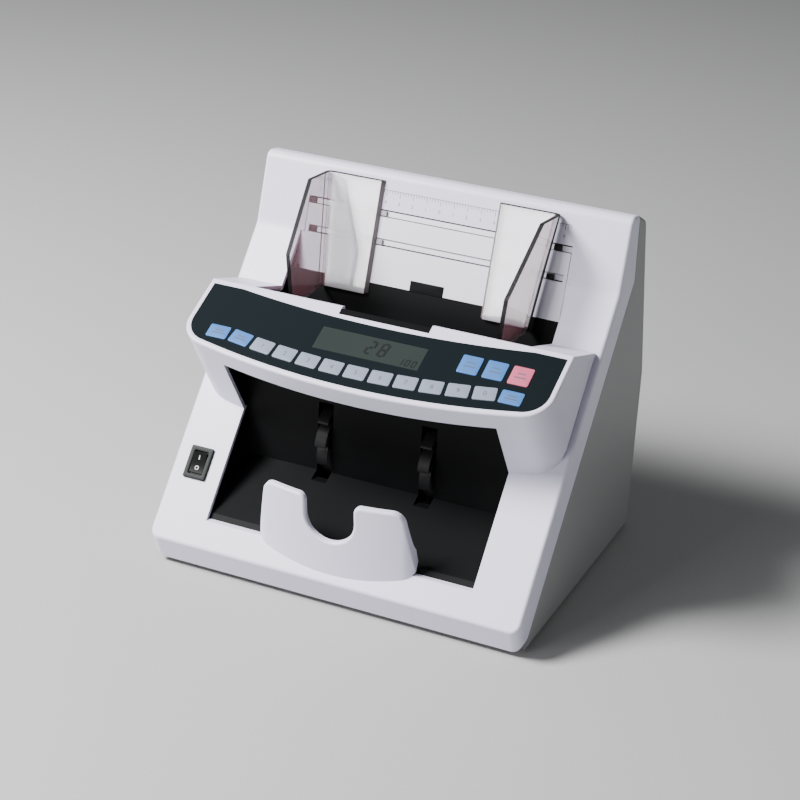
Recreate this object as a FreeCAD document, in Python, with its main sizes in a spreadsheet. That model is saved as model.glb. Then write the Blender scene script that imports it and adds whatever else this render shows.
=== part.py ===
"""Banknote counting machine as a parametric FreeCAD document.

Millimetres, +Z up, +Y to the back. The origin is on the table, in the middle
of the footprint. Every driving dimension is a cell of the Sizes sheet, and
the formulas below are expressions in those cells' aliases.
"""
import math
import os
import re

import FreeCAD
import Part
import Sketcher

SIZES = {
    # Shell, seen from the side
    "width": 270.3,
    "foot_height": 4.0,
    "wall": 3.0,
    "cover_wall": 2.5,
    "front_reach": 108.15,
    "band_reach": 100.3,
    "band_top": 22.1,
    "face_lean": 39.1,
    "crease_height": 203.1,
    "crease_round": 16.0,
    "upper_lean": 16.1,
    "top_height": 251.9,
    "top_round": 6.0,
    "top_depth": 12.0,
    "top_fall": 2.0,
    "strip_depth": 28.0,
    "seam_gap": 0.8,
    "rear_reach": 110.0,
    "rear_knee": 122.0,
    "rear_top_depth": 16.8,
    "rear_fall": 10.4,
    "rear_round": 3.0,
    "corner_round": 7.0,
    "edge_round": 2.5,
    # Openings of the front cover
    "pocket_width": 195.0,
    "pocket_bottom": 37.1,
    "console_bay_width": 226.0,
    "console_foot": 101.0,
    "console_back": 167.0,
    "hopper_width": 200.0,
    "plate_bay_width": 194.6,
    "slot_height": 4.9,
    "upper_slot": 224.6,
    "lower_slot": 205.6,
    # Base and feet
    "base_sheet": 1.5,
    "sheet_gap": 0.2,
    "foot_radius": 9.0,
    "foot_across": 105.0,
    "foot_front": 80.0,
    "foot_back_inset": 20.0,
    # Hopper
    "hopper_front": 27.0,
    "hopper_floor": 166.6,
    "floor_tilt": 20.0,
    "hopper_wall": 2.0,
    "throat": 4.6,
    "plate_sheet": 2.5,
    "plate_gap": 0.5,
    "plate_bottom": 151.0,
    "plate_foot": 178.0,
    "rail_depth": 7.0,
    "rail_margin": 3.0,
    "groove_depth": 5.0,
    # Note guides
    "guide_sheet": 3.0,
    "guide_gap": 0.4,
    "guide_top": 248.3,
    "guide_flange_top": 246.0,
    "guide_bottom": 171.0,
    "guide_half_top": 83.6,
    "guide_half_bottom": 75.6,
    "guide_toe": 2.6,
    "guide_inner": 42.0,
    "guide_front": 22.0,
    "guide_kink": 208.1,
    "guide_peak": 19.2,
    "guide_foot": 10.0,
    "guide_foot_inset": 5.0,
    "guide_foot_depth": 4.6,
    "slide_gap": 0.3,
    # Stacker tray
    "tray_wall": 2.5,
    "tray_tilt": 25.7,
    "tray_back": 39.0,
    "tray_ceiling": 142.5,
    "wheel_slot_gap": 3.0,
    # Stacker stop
    "stop_reach": 104.5,
    "stop_lean": 6.5,
    "stop_sheet": 4.0,
    "stop_bow": 200.0,
    "stop_half": 59.0,
    "stop_shoulder": 49.5,
    "stop_height": 57.0,
    "stop_depth": 17.0,
    "stop_corner": 13.0,
    "stop_lug_round": 9.0,
    "stop_edge_round": 1.8,
    "notch_half": 17.5,
    "notch_bottom": 25.5,
    "notch_lip": 5.0,
    # Console
    "key_row_reach": 76.0,
    "key_row_height": 160.4,
    "panel_tilt": 27.17,
    "console_lean": 33.6,
    "console_wall": 2.5,
    "console_rim": 3.6,
    "console_drop": 80.0,
    "console_slope": 17.5,
    "console_lip": 3.4,
    "console_edge_round": 1.6,
    "console_reveal": 1.2,
    "pocket_top": 15.2,
    "finger_half": 32.5,
    "panel_half": 127.0,
    "panel_front": 12.4,
    "panel_bow": 570.0,
    "panel_corner": 17.0,
    "panel_back": 47.3,
    "panel_back_sag": 7.1,
    "panel_back_half": 105.0,
    "panel_sheet": 1.2,
    "panel_ledge": 3.5,
    "panel_gap": 0.15,
    # Keys and display
    "key_pitch": 17.37,
    "key_width": 15.2,
    "key_depth": 10.7,
    "key_row_bow": 568.0,
    "end_key_rise": 7.9,
    "upper_key_rise": 26.2,
    "upper_key_width": 14.2,
    "upper_key_depth": 15.0,
    "upper_key_start": 68.9,
    "key_round": 1.2,
    "key_show": 0.5,
    "key_body": 4.4,
    "key_gap": 0.3,
    "key_float": 0.8,
    "display_width": 75.5,
    "display_depth": 19.4,
    "display_rise": 22.1,
    "display_glass": 1.0,
    "display_margin": 3.0,
    "display_gap": 0.15,
    "board_sheet": 1.6,
    "board_half": 112.0,
    "board_front": 7.0,
    "board_back": 45.6,
    "post_radius": 2.5,
    "post_across": 50.0,
    # Power switch
    "switch_across": 116.4,
    "switch_height": 65.6,
    "switch_width": 17.0,
    "switch_length": 23.0,
    "switch_border": 2.2,
    "switch_show": 1.6,
    "switch_depth": 18.0,
    "switch_gap": 0.2,
    "rocker_gap": 1.1,
    "rocker_rise": 3.0,
    "rocker_swing": 8.0,
    "rocker_depth": 5.0,
    # Side frames
    "frame_inner": 102.2,
    "frame_sheet": 2.0,
    "frame_flange": 12.0,
    "frame_rise": 22.0,
    "stay_radius": 4.0,
    "rear_stay_along": 89.0,
    "rear_stay_height": 89.0,
    "upper_stay_along": 57.0,
    "upper_stay_height": 169.0,
    "front_stay_along": 63.0,
    "front_stay_height": 18.0,
    # Shafts
    "shaft_radius": 4.0,
    "shaft_gap": 0.05,
    "bearing_radius": 7.0,
    "bearing_width": 5.0,
    "bearing_inset": 1.6,
    "shaft_stub": 3.0,
    "pickup_along": 8.0,
    "pickup_radius": 13.0,
    "pickup_show": 1.0,
    "pickup_width": 22.0,
    "pickup_across": 30.0,
    "window_gap": 1.5,
    "feed_along": 37.0,
    "feed_height": 116.0,
    "feed_radius": 16.0,
    "feed_width": 26.0,
    "feed_across": 30.0,
    "nip_gap": 0.4,
    "nip_angle": 10.0,
    "separator_radius": 6.0,
    "separator_width": 18.0,
    "stacker_back": 15.0,
    "stacker_height": 88.0,
    "stacker_radius": 32.0,
    "stacker_width": 8.0,
    "stacker_across": 38.0,
    "stacker_hub": 13.0,
    "vane_twist": 62.0,
    "vane_angle": 7.0,
    # Drive
    "belt_width": 5.0,
    "belt_sheet": 1.5,
    "belt_gap": 0.3,
    "belt_start": 107.2,
    "belt_step": 7.2,
    "pulley_flange": 0.8,
    "motor_pulley": 9.0,
    "feed_pulley": 18.0,
    "branch_pulley": 11.0,
    "stacker_pulley": 16.5,
    "pickup_pulley": 8.8,
    "motor_along": 71.0,
    "motor_height": 52.0,
    "motor_radius": 24.0,
    "motor_length": 62.0,
    "motor_boss": 9.0,
    # Electrics
    "board_lift": 6.0,
    "main_board_half": 88.0,
    "main_board_front": 44.0,
    "main_board_back": 30.0,
    "standoff_radius": 3.0,
    "chip_height": 4.0,
    "chip_width": 20.0,
    "transformer_left": 95.0,
    "transformer_length": 58.0,
    "transformer_back": 28.0,
    "transformer_depth": 52.0,
    "transformer_tall": 46.0,
    "core_depth": 22.0,
    "coil_inset": 6.0,
    "inlet_left": 92.0,
    "inlet_width": 28.0,
    "inlet_bottom": 18.0,
    "inlet_tall": 21.0,
    "inlet_flange": 2.0,
    "inlet_border": 3.0,
    "inlet_depth": 20.0,
    "inlet_well": 14.0,
    "inlet_gap": 0.2,
    "pin_width": 2.0,
    "pin_tall": 5.0,
    "pin_length": 8.5,
    "sensor_size": 8.0,
    "sensor_along": 25.0,
    "sensor_height": 92.0,
    # Fasteners
    "screw_radius": 3.5,
    "screw_head": 1.6,
}

ROW_KEYS = (
    "function_key_a", "function_key_b",
    "digit_key_1", "digit_key_2", "digit_key_3", "digit_key_4", "digit_key_5",
    "digit_key_6", "digit_key_7", "digit_key_8", "digit_key_9", "digit_key_0",
    "start_key",
)
UPPER_KEYS = ("function_key_c", "function_key_d", "clear_key")
VANES = 12

X_AXIS = FreeCAD.Vector(1, 0, 0)
Y_AXIS = FreeCAD.Vector(0, 1, 0)
Z_AXIS = FreeCAD.Vector(0, 0, 1)

doc = FreeCAD.newDocument("banknote_counter")
sheet = doc.addObject("Spreadsheet::Sheet", "Sizes")
nodes = []


# Sheet and formulas

def fill_sheet():
    """Write each size to its own cell, under its own alias."""
    for row, (alias, size) in enumerate(SIZES.items(), start=1):
        sheet.set("A%d" % row, alias)
        sheet.set("B%d" % row, str(size))
        sheet.setAlias("B%d" % row, alias)
    doc.recompute()


def full(formula):
    """Name the sheet in front of each alias of a formula."""
    def named(match):
        word = match.group(0)
        return "Sizes." + word if word in SIZES else word
    return re.sub(r"[a-z][a-z_]*", named, str(formula))


def value(formula):
    """Work out a formula from the sheet."""
    result = sheet.evalExpression(full(formula))
    return float(getattr(result, "Value", result))


def bind(thing, prop, formula):
    """Tie one property to a formula."""
    thing.setExpression(prop, full(formula))


def minus(formula):
    """The same length on the other side."""
    return "-(%s)" % formula


# Sketches and bodies

def origin_plane(body, role):
    """One of a body's own origin planes."""
    return next(part for part in body.Origin.OriginFeatures if part.Role == role)


def pin(sketch, geometry, position, spot, tag):
    """Hold one sketch point at a pair of formulas."""
    for kind, letter, formula in zip(("DistanceX", "DistanceY"), "xy", spot):
        rule = Sketcher.Constraint(kind, -1, 1, geometry, position, value(formula))
        number = sketch.addConstraint(rule)
        name = "%s_%s" % (tag, letter)
        sketch.renameConstraint(number, name)
        bind(sketch, "Constraints." + name, formula)


def spot_vector(spot):
    """The place of a pair of formulas in a sketch."""
    return FreeCAD.Vector(value(spot[0]), value(spot[1]), 0)


def trace(sketch, corners, bows=None, rounds=None, tag="p"):
    """Draw a closed outline.

    corners are pairs of formulas. bows gives, for a side's number, the point
    its arc passes through. rounds gives the radius at a corner's number.
    """
    bows = bows or {}
    rounds = rounds or {}
    count = len(corners)
    spots = [spot_vector(corner) for corner in corners]
    first = sketch.GeometryCount
    ends = []
    for side in range(count):
        here = spots[side]
        there = spots[(side + 1) % count]
        if side in bows:
            number = sketch.addGeometry(Part.Arc(here, spot_vector(bows[side]), there), False)
            forward = sketch.getPoint(number, 1).isEqual(here, 1e-6)
        else:
            number = sketch.addGeometry(Part.LineSegment(here, there), False)
            forward = True
        ends.append((number, 1, 2) if forward else (number, 2, 1))
    for side in range(count):
        number, _start, end = ends[side]
        other, other_start, _end = ends[(side + 1) % count]
        sketch.addConstraint(Sketcher.Constraint("Coincident", number, end, other, other_start))
    for side, corner in enumerate(corners):
        number, start, _end = ends[side]
        pin(sketch, number, start, corner, "%s%d_%d" % (tag, first, side))
    for side, bow in bows.items():
        point = sketch.addGeometry(Part.Point(spot_vector(bow)), True)
        sketch.addConstraint(Sketcher.Constraint("PointOnObject", point, 1, ends[side][0]))
        pin(sketch, point, 1, bow, "%s%d_bow%d" % (tag, first, side))
    for corner, radius in rounds.items():
        before = sketch.GeometryCount
        sketch.fillet(ends[corner][0], ends[corner][1], value(radius), True, True)
        arc = next(number for number in range(before, sketch.GeometryCount)
                   if sketch.Geometry[number].TypeId == "Part::GeomArcOfCircle")
        rule = sketch.addConstraint(Sketcher.Constraint("Radius", arc, value(radius)))
        name = "%s%d_round%d" % (tag, first, corner)
        sketch.renameConstraint(rule, name)
        bind(sketch, "Constraints." + name, radius)


def new_body(label):
    """An empty body."""
    body = doc.addObject("PartDesign::Body", label)
    body.Label = label
    return body


def outline(body, name, role, corners, bows=None, rounds=None, lift=None):
    """A sketch of one closed outline on a body's origin plane."""
    sketch = body.newObject("Sketcher::SketchObject", body.Label + "_" + name)
    sketch.AttachmentSupport = [(origin_plane(body, role), "")]
    sketch.MapMode = "FlatFace"
    if lift is not None:
        bind(sketch, "AttachmentOffset.Base.z", lift)
    trace(sketch, corners, bows, rounds)
    return sketch


def circle_sketch(body, name, role, radius, centre=("0", "0")):
    """A sketch of one circle on a body's origin plane."""
    sketch = body.newObject("Sketcher::SketchObject", body.Label + "_" + name)
    sketch.AttachmentSupport = [(origin_plane(body, role), "")]
    sketch.MapMode = "FlatFace"
    add_circle(sketch, radius, centre)
    return sketch


def add_circle(sketch, radius, centre):
    """One more circle in a sketch."""
    number = sketch.addGeometry(Part.Circle(spot_vector(centre), Z_AXIS, value(radius)), False)
    pin(sketch, number, 3, centre, "c%d" % number)
    rule = sketch.addConstraint(Sketcher.Constraint("Radius", number, value(radius)))
    sketch.renameConstraint(rule, "r%d" % number)
    bind(sketch, "Constraints.r%d" % number, radius)


def pad(body, sketch, length, back=None):
    """Extrude a sketch both ways: evenly, or by its own length each way."""
    feature = body.newObject("PartDesign::Pad", sketch.Label + "_pad")
    feature.Profile = sketch
    if back is None:
        feature.SideType = "Symmetric"
    else:
        feature.SideType = "Two sides"
        bind(feature, "Length2", back)
    bind(feature, "Length", length)
    doc.recompute()
    return feature


def sheet_pad(body, sketch, low, length):
    """Extrude a sketch one way from a height above its plane."""
    feature = body.newObject("PartDesign::Pad", sketch.Label + "_plate")
    feature.Profile = sketch
    feature.SideType = "One side"
    bind(feature, "Length", length)
    bind(sketch, "AttachmentOffset.Base.z", low)
    doc.recompute()
    return feature


def pocket(body, sketch, length):
    """Cut a sketch evenly both ways, and make sure that it cut something."""
    before = body.Shape.Volume
    feature = body.newObject("PartDesign::Pocket", sketch.Label + "_pocket")
    feature.Profile = sketch
    feature.SideType = "Symmetric"
    bind(feature, "Length", length)
    doc.recompute()
    if body.Shape.Volume >= before:
        raise ValueError(feature.Label + " cuts nothing")
    return feature


def fillet(body, chosen, radius):
    """Round the edges of a body's tip that a test picks."""
    base = body.Tip
    names = ["Edge%d" % number for number, edge in enumerate(base.Shape.Edges, start=1) if chosen(edge)]
    if not names:
        raise ValueError(body.Label + " has no edge to round")
    feature = body.newObject("PartDesign::Fillet", body.Label + "_round_" + radius)
    feature.Base = (base, names)
    bind(feature, "Radius", radius)
    doc.recompute()
    return feature


def tilt(thing, along, height, angle):
    """Lay a piece in a frame turned about the X axis."""
    thing.Placement = FreeCAD.Placement(FreeCAD.Vector(), FreeCAD.Rotation(X_AXIS, value(angle)))
    bind(thing, "Placement.Base.y", along)
    bind(thing, "Placement.Base.z", height)
    bind(thing, "Placement.Rotation.Angle", angle)
    return thing


# Primitives and booleans

def slab(label, frame, across, along, up):
    """A box given by its start and end each way in a frame turned about X."""
    origin_y, origin_z, angle = frame
    box = doc.addObject("Part::Box", label)
    box.Label = label
    for prop, (start, end) in (("Length", across), ("Width", along), ("Height", up)):
        bind(box, prop, "(%s) - (%s)" % (end, start))
    base_y = "(%s) + (%s) * cos(%s) - (%s) * sin(%s)" % (origin_y, along[0], angle, up[0], angle)
    base_z = "(%s) + (%s) * sin(%s) + (%s) * cos(%s)" % (origin_z, along[0], angle, up[0], angle)
    tilt(box, base_y, base_z, angle)
    bind(box, "Placement.Base.x", across[0])
    return box


def rod(label, radius, start, end, centre):
    """A cylinder along X."""
    cylinder = doc.addObject("Part::Cylinder", label)
    cylinder.Label = label
    cylinder.Placement = FreeCAD.Placement(FreeCAD.Vector(), FreeCAD.Rotation(Y_AXIS, 90))
    bind(cylinder, "Radius", radius)
    bind(cylinder, "Height", "(%s) - (%s)" % (end, start))
    bind(cylinder, "Placement.Base.x", start)
    bind(cylinder, "Placement.Base.y", centre[0])
    bind(cylinder, "Placement.Base.z", centre[1])
    return cylinder


def post(label, radius, bottom, top, across, along):
    """A cylinder along Z."""
    cylinder = doc.addObject("Part::Cylinder", label)
    cylinder.Label = label
    bind(cylinder, "Radius", radius)
    bind(cylinder, "Height", "(%s) - (%s)" % (top, bottom))
    bind(cylinder, "Placement.Base.x", across)
    bind(cylinder, "Placement.Base.y", along)
    bind(cylinder, "Placement.Base.z", bottom)
    return cylinder


def joined(label, pieces):
    """Several overlapping solids as one."""
    fused = doc.addObject("Part::MultiFuse", label)
    fused.Label = label
    fused.Shapes = pieces
    return fused


def group(label, pieces):
    """Several separate solids under one name."""
    compound = doc.addObject("Part::Compound", label)
    compound.Label = label
    compound.Links = pieces
    return compound


def cut(label, base, tools):
    """One solid less several others, each of which has to bite."""
    result = base
    for number, tool in enumerate(tools):
        last = number == len(tools) - 1
        step = doc.addObject("Part::Cut", label if last else "%s_step_%d" % (label, number))
        step.Label = label if last else "%s_step_%d" % (label, number)
        step.Base = result
        step.Tool = tool
        result = step
    doc.recompute()
    if result.Shape.Volume >= base.Shape.Volume:
        raise ValueError(label + " is not cut")
    return result


def common(label, one, other):
    """What two solids share."""
    result = doc.addObject("Part::Common", label)
    result.Label = label
    result.Base = one
    result.Tool = other
    return result


def node(thing, label=None):
    """Keep a finished sub-part under its name."""
    if label is not None:
        thing.Label = label
    nodes.append(thing)
    return thing


def ring(label, radius, bore, start, end, centre):
    """A cylinder along X with a round bore."""
    outer = rod(label + "_blank", radius, start, end, centre)
    inner = rod(label + "_bore", bore, start, end, centre)
    return cut(label, outer, [inner])


# Shared places

UPRIGHT = ("0", "0", "0")
HALF = "width / 2"


def face_y(height):
    """The front face's plane at a height."""
    return "(-front_reach + ((%s) - band_top) * tan(face_lean))" % height


def face_inner_y(height):
    """The inside of the front face's wall at a height."""
    return "(%s + wall / cos(face_lean))" % face_y(height)


CREASE_Y = face_y("crease_height")


def upper_y(height):
    """The upper plate's plane at a height."""
    return "(%s + ((%s) - crease_height) * tan(upper_lean))" % (CREASE_Y, height)


def upper_inner_y(height):
    """The inside of the upper plate's wall at a height."""
    return "(%s + wall / cos(upper_lean))" % upper_y(height)


TOP_Y = upper_y("top_height")
SEAM_TOP = ("(%s + top_depth)" % TOP_Y, "(top_height - top_fall)")
SEAM_CREASE = ("(%s + strip_depth)" % CREASE_Y, "crease_height")
SEAM_FOOT = ("(%s + strip_depth - (crease_height - foot_height) * tan(face_lean))" % CREASE_Y, "foot_height")
REAR_TOP_Y = "(%s + seam_gap + rear_top_depth)" % SEAM_TOP[0]
REAR_TOP_Z = "(top_height - rear_fall)"
REAR_SLOPE = "((rear_reach - %s) / (%s - rear_knee))" % (REAR_TOP_Y, REAR_TOP_Z)


def rear_y(height, inset="0"):
    """The leaning upper part of the rear at a height."""
    return "(rear_reach - (%s) - ((%s) - rear_knee) * %s)" % (inset, height, REAR_SLOPE)


BASE_TOP = "(foot_height + base_sheet)"
BOARD_LOW = "(%s + board_lift)" % BASE_TOP
PLATE_FRAME = (CREASE_Y, "crease_height", "-upper_lean")
FACE_TILT = "(90 - face_lean)"
SWITCH_FRAME = (face_y("switch_height"), "switch_height", FACE_TILT)
PANEL_FRAME = ("-key_row_reach", "key_row_height", "panel_tilt")
CONSOLE_FRAME = ("-key_row_reach", "key_row_height", "console_lean")


def plate_rise(height):
    """Distance up the upper plate from the crease to a height."""
    return "(((%s) - crease_height) / cos(upper_lean))" % height


def floor_z(along):
    """Top of the hopper floor."""
    return "(hopper_floor - ((%s) + hopper_front) * tan(floor_tilt))" % along


def tray_z(along):
    """Top of the stacker tray's floor."""
    return "(pocket_bottom + ((%s) - %s) * tan(tray_tilt))" % (along, face_y("pocket_bottom"))


PICKUP = ("pickup_along", "(%s - (pickup_radius - pickup_show) / cos(floor_tilt))" % floor_z("pickup_along"))
FEED = ("feed_along", "feed_height")
NIP = "(feed_radius + nip_gap + separator_radius)"
SEPARATOR = ("(feed_along - %s * cos(nip_angle))" % NIP, "(feed_height + %s * sin(nip_angle))" % NIP)
STACKER = ("-stacker_back", "stacker_height")
MOTOR = ("motor_along", "motor_height")
FRAME_OUTER = "(frame_inner + frame_sheet)"
FRAME_TOP = "(hopper_floor + frame_rise)"


# Shell

def front_cover():
    """Light front shell: band, face, upper plate and side strips."""
    body = new_body("front_cover_shell")
    profile = [
        ("-band_reach", "foot_height"), ("-front_reach", "band_top"),
        (CREASE_Y, "crease_height"), (TOP_Y, "top_height"),
        SEAM_TOP, SEAM_CREASE, SEAM_FOOT,
    ]
    rounds = {2: "crease_round", 3: "top_round"}
    pad(body, outline(body, "profile", "YZ_Plane", profile, rounds=rounds), "width")
    front = -value("front_reach")
    half = value(HALF)
    band = value("band_top")

    def band_corner(edge):
        box = edge.BoundBox
        return abs(box.XMin) > half - 0.01 and box.XLength < 0.01 and box.ZMax < band + 0.01 and box.YMax < 0

    fillet(body, band_corner, "corner_round")
    seam_foot = value(SEAM_FOOT[0])
    seam_crease = value(SEAM_CREASE[0])
    crease = value("crease_height")
    slope = (seam_crease - seam_foot) / (crease - value("foot_height"))
    top = value("top_height")
    top_line = value(SEAM_TOP[1])

    def face_rim(edge):
        middle = edge.valueAt((edge.FirstParameter + edge.LastParameter) / 2)
        box = edge.BoundBox
        if box.ZMax < band - 0.01 or box.ZMin < value("foot_height") + 0.01:
            return False
        if box.ZLength < 0.01 and box.XLength > half and middle.y < front + 1:
            return True
        if box.XLength > half:
            return False
        on_seam = abs(middle.y - (seam_crease + (min(middle.z, crease) - crease) * slope)) < 0.5
        upper_seam = middle.z > crease and middle.y > seam_crease - 6 and box.ZLength > 20
        return not on_seam and not upper_seam and middle.z < max(top, top_line) + 1

    fillet(body, face_rim, "edge_round")
    crease_drop = "wall * (1 / cos(face_lean) - 1 / cos(upper_lean)) / (tan(face_lean) - tan(upper_lean))"
    inner_crease = "(crease_height - %s)" % crease_drop
    cavity = [
        ("-band_reach + wall", "foot_height - wall"), (face_inner_y("band_top"), "band_top"),
        (face_inner_y(inner_crease), inner_crease),
        (upper_inner_y("top_height - wall"), "top_height - wall"),
        ("rear_reach", "top_height - wall"), ("rear_reach", "foot_height - wall"),
    ]
    pocket(body, outline(body, "cavity", "YZ_Plane", cavity), "width - 2 * wall")
    stations = [
        ("pocket_width / 2", "pocket_bottom"), ("pocket_width / 2", "console_foot"),
        ("console_bay_width / 2", "console_foot"), ("console_bay_width / 2", "console_back"),
        ("hopper_width / 2", "console_back"), ("hopper_width / 2", "crease_height"),
        ("plate_bay_width / 2", "crease_height"), ("plate_bay_width / 2", "upper_slot + slot_height / 2"),
    ]
    mirrored = [(minus(across), up) for across, up in reversed(stations)]
    pocket(body, outline(body, "mouth", "XZ_Plane", stations + mirrored), "4 * rear_reach")
    hole = slab("switch_hole", SWITCH_FRAME, switch_span("switch_border - switch_gap"),
                switch_run("switch_border - switch_gap"), ("-2 * wall", "2 * wall"))
    node(cut("front_cover", body, [hole]))


def rear_cover():
    """Grey sides, top and back behind the seam."""
    body = new_body("rear_cover_shell")
    profile = [
        ("%s + seam_gap" % SEAM_FOOT[0], SEAM_FOOT[1]), ("%s + seam_gap" % SEAM_CREASE[0], SEAM_CREASE[1]),
        ("%s + seam_gap" % SEAM_TOP[0], SEAM_TOP[1]), (REAR_TOP_Y, REAR_TOP_Z),
        ("rear_reach", "rear_knee"), ("rear_reach", "foot_height"),
    ]
    rounds = {3: "top_round", 4: "crease_round"}
    pad(body, outline(body, "profile", "YZ_Plane", profile, rounds=rounds), "width")
    half = value(HALF)
    knee = value("rear_knee")
    reach = value("rear_reach")

    def rear_edge(edge):
        box = edge.BoundBox
        middle = edge.valueAt((edge.FirstParameter + edge.LastParameter) / 2)
        if box.XLength > 0.01 or abs(box.XMin) < half - 0.01:
            return False
        low = middle.y > reach - 1 and box.ZLength > 20
        lean_in = max(0, middle.z - knee) * 0.3
        high = middle.z > knee - 20 and middle.y > reach - 1 - lean_in and box.ZLength > 1
        return low or high

    fillet(body, rear_edge, "rear_round")
    sink = "cover_wall * sqrt(1 + (rear_fall / rear_top_depth) ^ 2)"
    inner_top = "(%s - %s)" % (REAR_TOP_Z, sink)
    seam_top = "(%s - %s)" % (SEAM_TOP[1], sink)
    cavity = [
        ("-2 * front_reach", "foot_height - wall"), ("rear_reach - cover_wall", "foot_height - wall"),
        ("rear_reach - cover_wall", "rear_knee"),
        (rear_y(inner_top, "cover_wall * sqrt(1 + %s ^ 2)" % REAR_SLOPE), inner_top),
        (SEAM_TOP[0], seam_top), ("-2 * front_reach", seam_top),
    ]
    pocket(body, outline(body, "cavity", "YZ_Plane", cavity), "width - 2 * cover_wall")
    rim = "inlet_border - inlet_gap"
    hole = slab("inlet_hole", UPRIGHT, inlet_span(rim),
                ("rear_reach - 2 * cover_wall", "rear_reach + cover_wall"), inlet_rise(rim))
    node(cut("rear_cover", body, [hole]))


def base():
    """Sheet-metal floor and its four rubber feet."""
    side = "(%s - wall - sheet_gap)" % HALF
    sheet_box = slab("base_sheet_box", UPRIGHT, (minus(side), side),
                     ("-band_reach + wall + sheet_gap", "rear_reach - cover_wall - sheet_gap"),
                     ("foot_height", BASE_TOP))
    standoffs = []
    for across in ("-main_board_half + 2 * standoff_radius", "main_board_half - 2 * standoff_radius"):
        for along in ("-main_board_front + 2 * standoff_radius", "main_board_back - 2 * standoff_radius"):
            standoffs.append(post("standoff_%d" % len(standoffs), "standoff_radius", BASE_TOP, BOARD_LOW,
                                  across, along))
    node(joined("base_plate", [sheet_box] + standoffs))
    feet = []
    for across in ("foot_across", "-foot_across"):
        for along in ("-foot_front", "rear_reach - foot_back_inset"):
            feet.append(post("foot_%d" % len(feet), "foot_radius", "0", "foot_height", across, along))
    node(group("rubber_feet", feet))


# Hopper

def hopper():
    """Back plate, guide rails and black tray under the notes."""
    plate = slab("back_plate_blank", PLATE_FRAME,
                 ("-plate_bay_width / 2 + plate_gap", "plate_bay_width / 2 - plate_gap"),
                 ("0", "plate_sheet"),
                 (plate_rise("plate_foot"), plate_rise("upper_slot - slot_height / 2")))
    slot = slab("lower_slot_cut", PLATE_FRAME,
                ("-plate_bay_width / 2 + rail_margin", "plate_bay_width / 2 - rail_margin"),
                ("-plate_sheet", "2 * plate_sheet"),
                (plate_rise("lower_slot - slot_height / 2"), plate_rise("lower_slot + slot_height / 2")))
    node(cut("hopper_back_plate", plate, [slot]))
    rails = []
    for name, height, seat in (("upper", "upper_slot", "wall"), ("lower", "lower_slot", "plate_sheet")):
        reach = ("-plate_bay_width / 2", "plate_bay_width / 2")
        blank = slab(name + "_rail_blank", PLATE_FRAME, reach, (seat, seat + " + rail_depth"),
                     (plate_rise("%s - slot_height / 2 - rail_margin" % height),
                      plate_rise("%s + slot_height / 2 + rail_margin" % height)))
        groove = slab(name + "_rail_groove", PLATE_FRAME, reach, ("0", seat + " + groove_depth"),
                      (plate_rise("%s - slot_height / 2" % height),
                       plate_rise("%s + slot_height / 2" % height)))
        rails.append(cut(name + "_rail", blank, [groove]))
    node(group("guide_rails", rails))
    node(hopper_tray())


def hopper_tray():
    """Black tub with an inclined floor, windows for the pickup rollers and a low back."""
    body = new_body("hopper_tray_tub")
    front = "(-hopper_front - hopper_wall)"
    floor_back = "(%s - throat)" % upper_y("plate_bottom")
    under = "hopper_wall / cos(floor_tilt)"
    back_low = "(%s - %s)" % (floor_z(floor_back), under)
    wall_top = "(console_back - console_wall - panel_gap)"
    console_under = "((%s) + (%s - %s) * tan(console_slope))"
    front_top = console_under % (wall_top, face_inner_y(wall_top), front)
    peak_drop = "(wall / cos(face_lean) + sheet_gap) / (tan(face_lean) - tan(upper_lean))"
    peak = "(crease_height - %s)" % peak_drop
    side = [
        (front, front_top), (face_inner_y(wall_top), wall_top),
        ("%s - sheet_gap" % upper_y(peak), peak),
        ("%s - sheet_gap" % upper_y("plate_bottom"), "plate_bottom"),
        (floor_back, back_low), (front, "%s - %s" % (floor_z(front), under)),
    ]
    pad(body, outline(body, "side", "YZ_Plane", side), "hopper_width + 2 * hopper_wall")
    inside = [
        ("-hopper_front", floor_z("-hopper_front")), ("rear_reach", floor_z("rear_reach")),
        ("rear_reach", "top_height"), ("-hopper_front", "top_height"),
    ]
    pocket(body, outline(body, "inside", "YZ_Plane", inside), "hopper_width")
    windows = []
    for sign in ("", "-"):
        centre = sign + "pickup_across"
        windows.append(slab("pickup_window_%d" % len(windows), UPRIGHT,
                            ("%s - pickup_width / 2 - window_gap" % centre,
                             "%s + pickup_width / 2 + window_gap" % centre),
                            ("pickup_along - pickup_radius", "pickup_along + pickup_radius"),
                            ("%s - pickup_radius" % PICKUP[1], "%s + 2 * pickup_radius" % PICKUP[1])))
    tub = cut("hopper_tub", body, windows)
    rise = (plate_rise("plate_bottom"), plate_rise("plate_foot - plate_gap"))
    inner = "(hopper_width / 2)"
    outer = "(hopper_width / 2 + hopper_wall)"
    back = slab("hopper_low_back", PLATE_FRAME, (minus(outer), outer), ("0", "plate_sheet"), rise)
    ears = [slab("hopper_ear_%d" % number, PLATE_FRAME, span, ("-2 * sheet_gap", "plate_sheet"), rise)
            for number, span in enumerate(((inner, outer), (minus(outer), minus(inner))))]
    return joined("hopper_tray", [tub, back] + ears)


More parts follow.
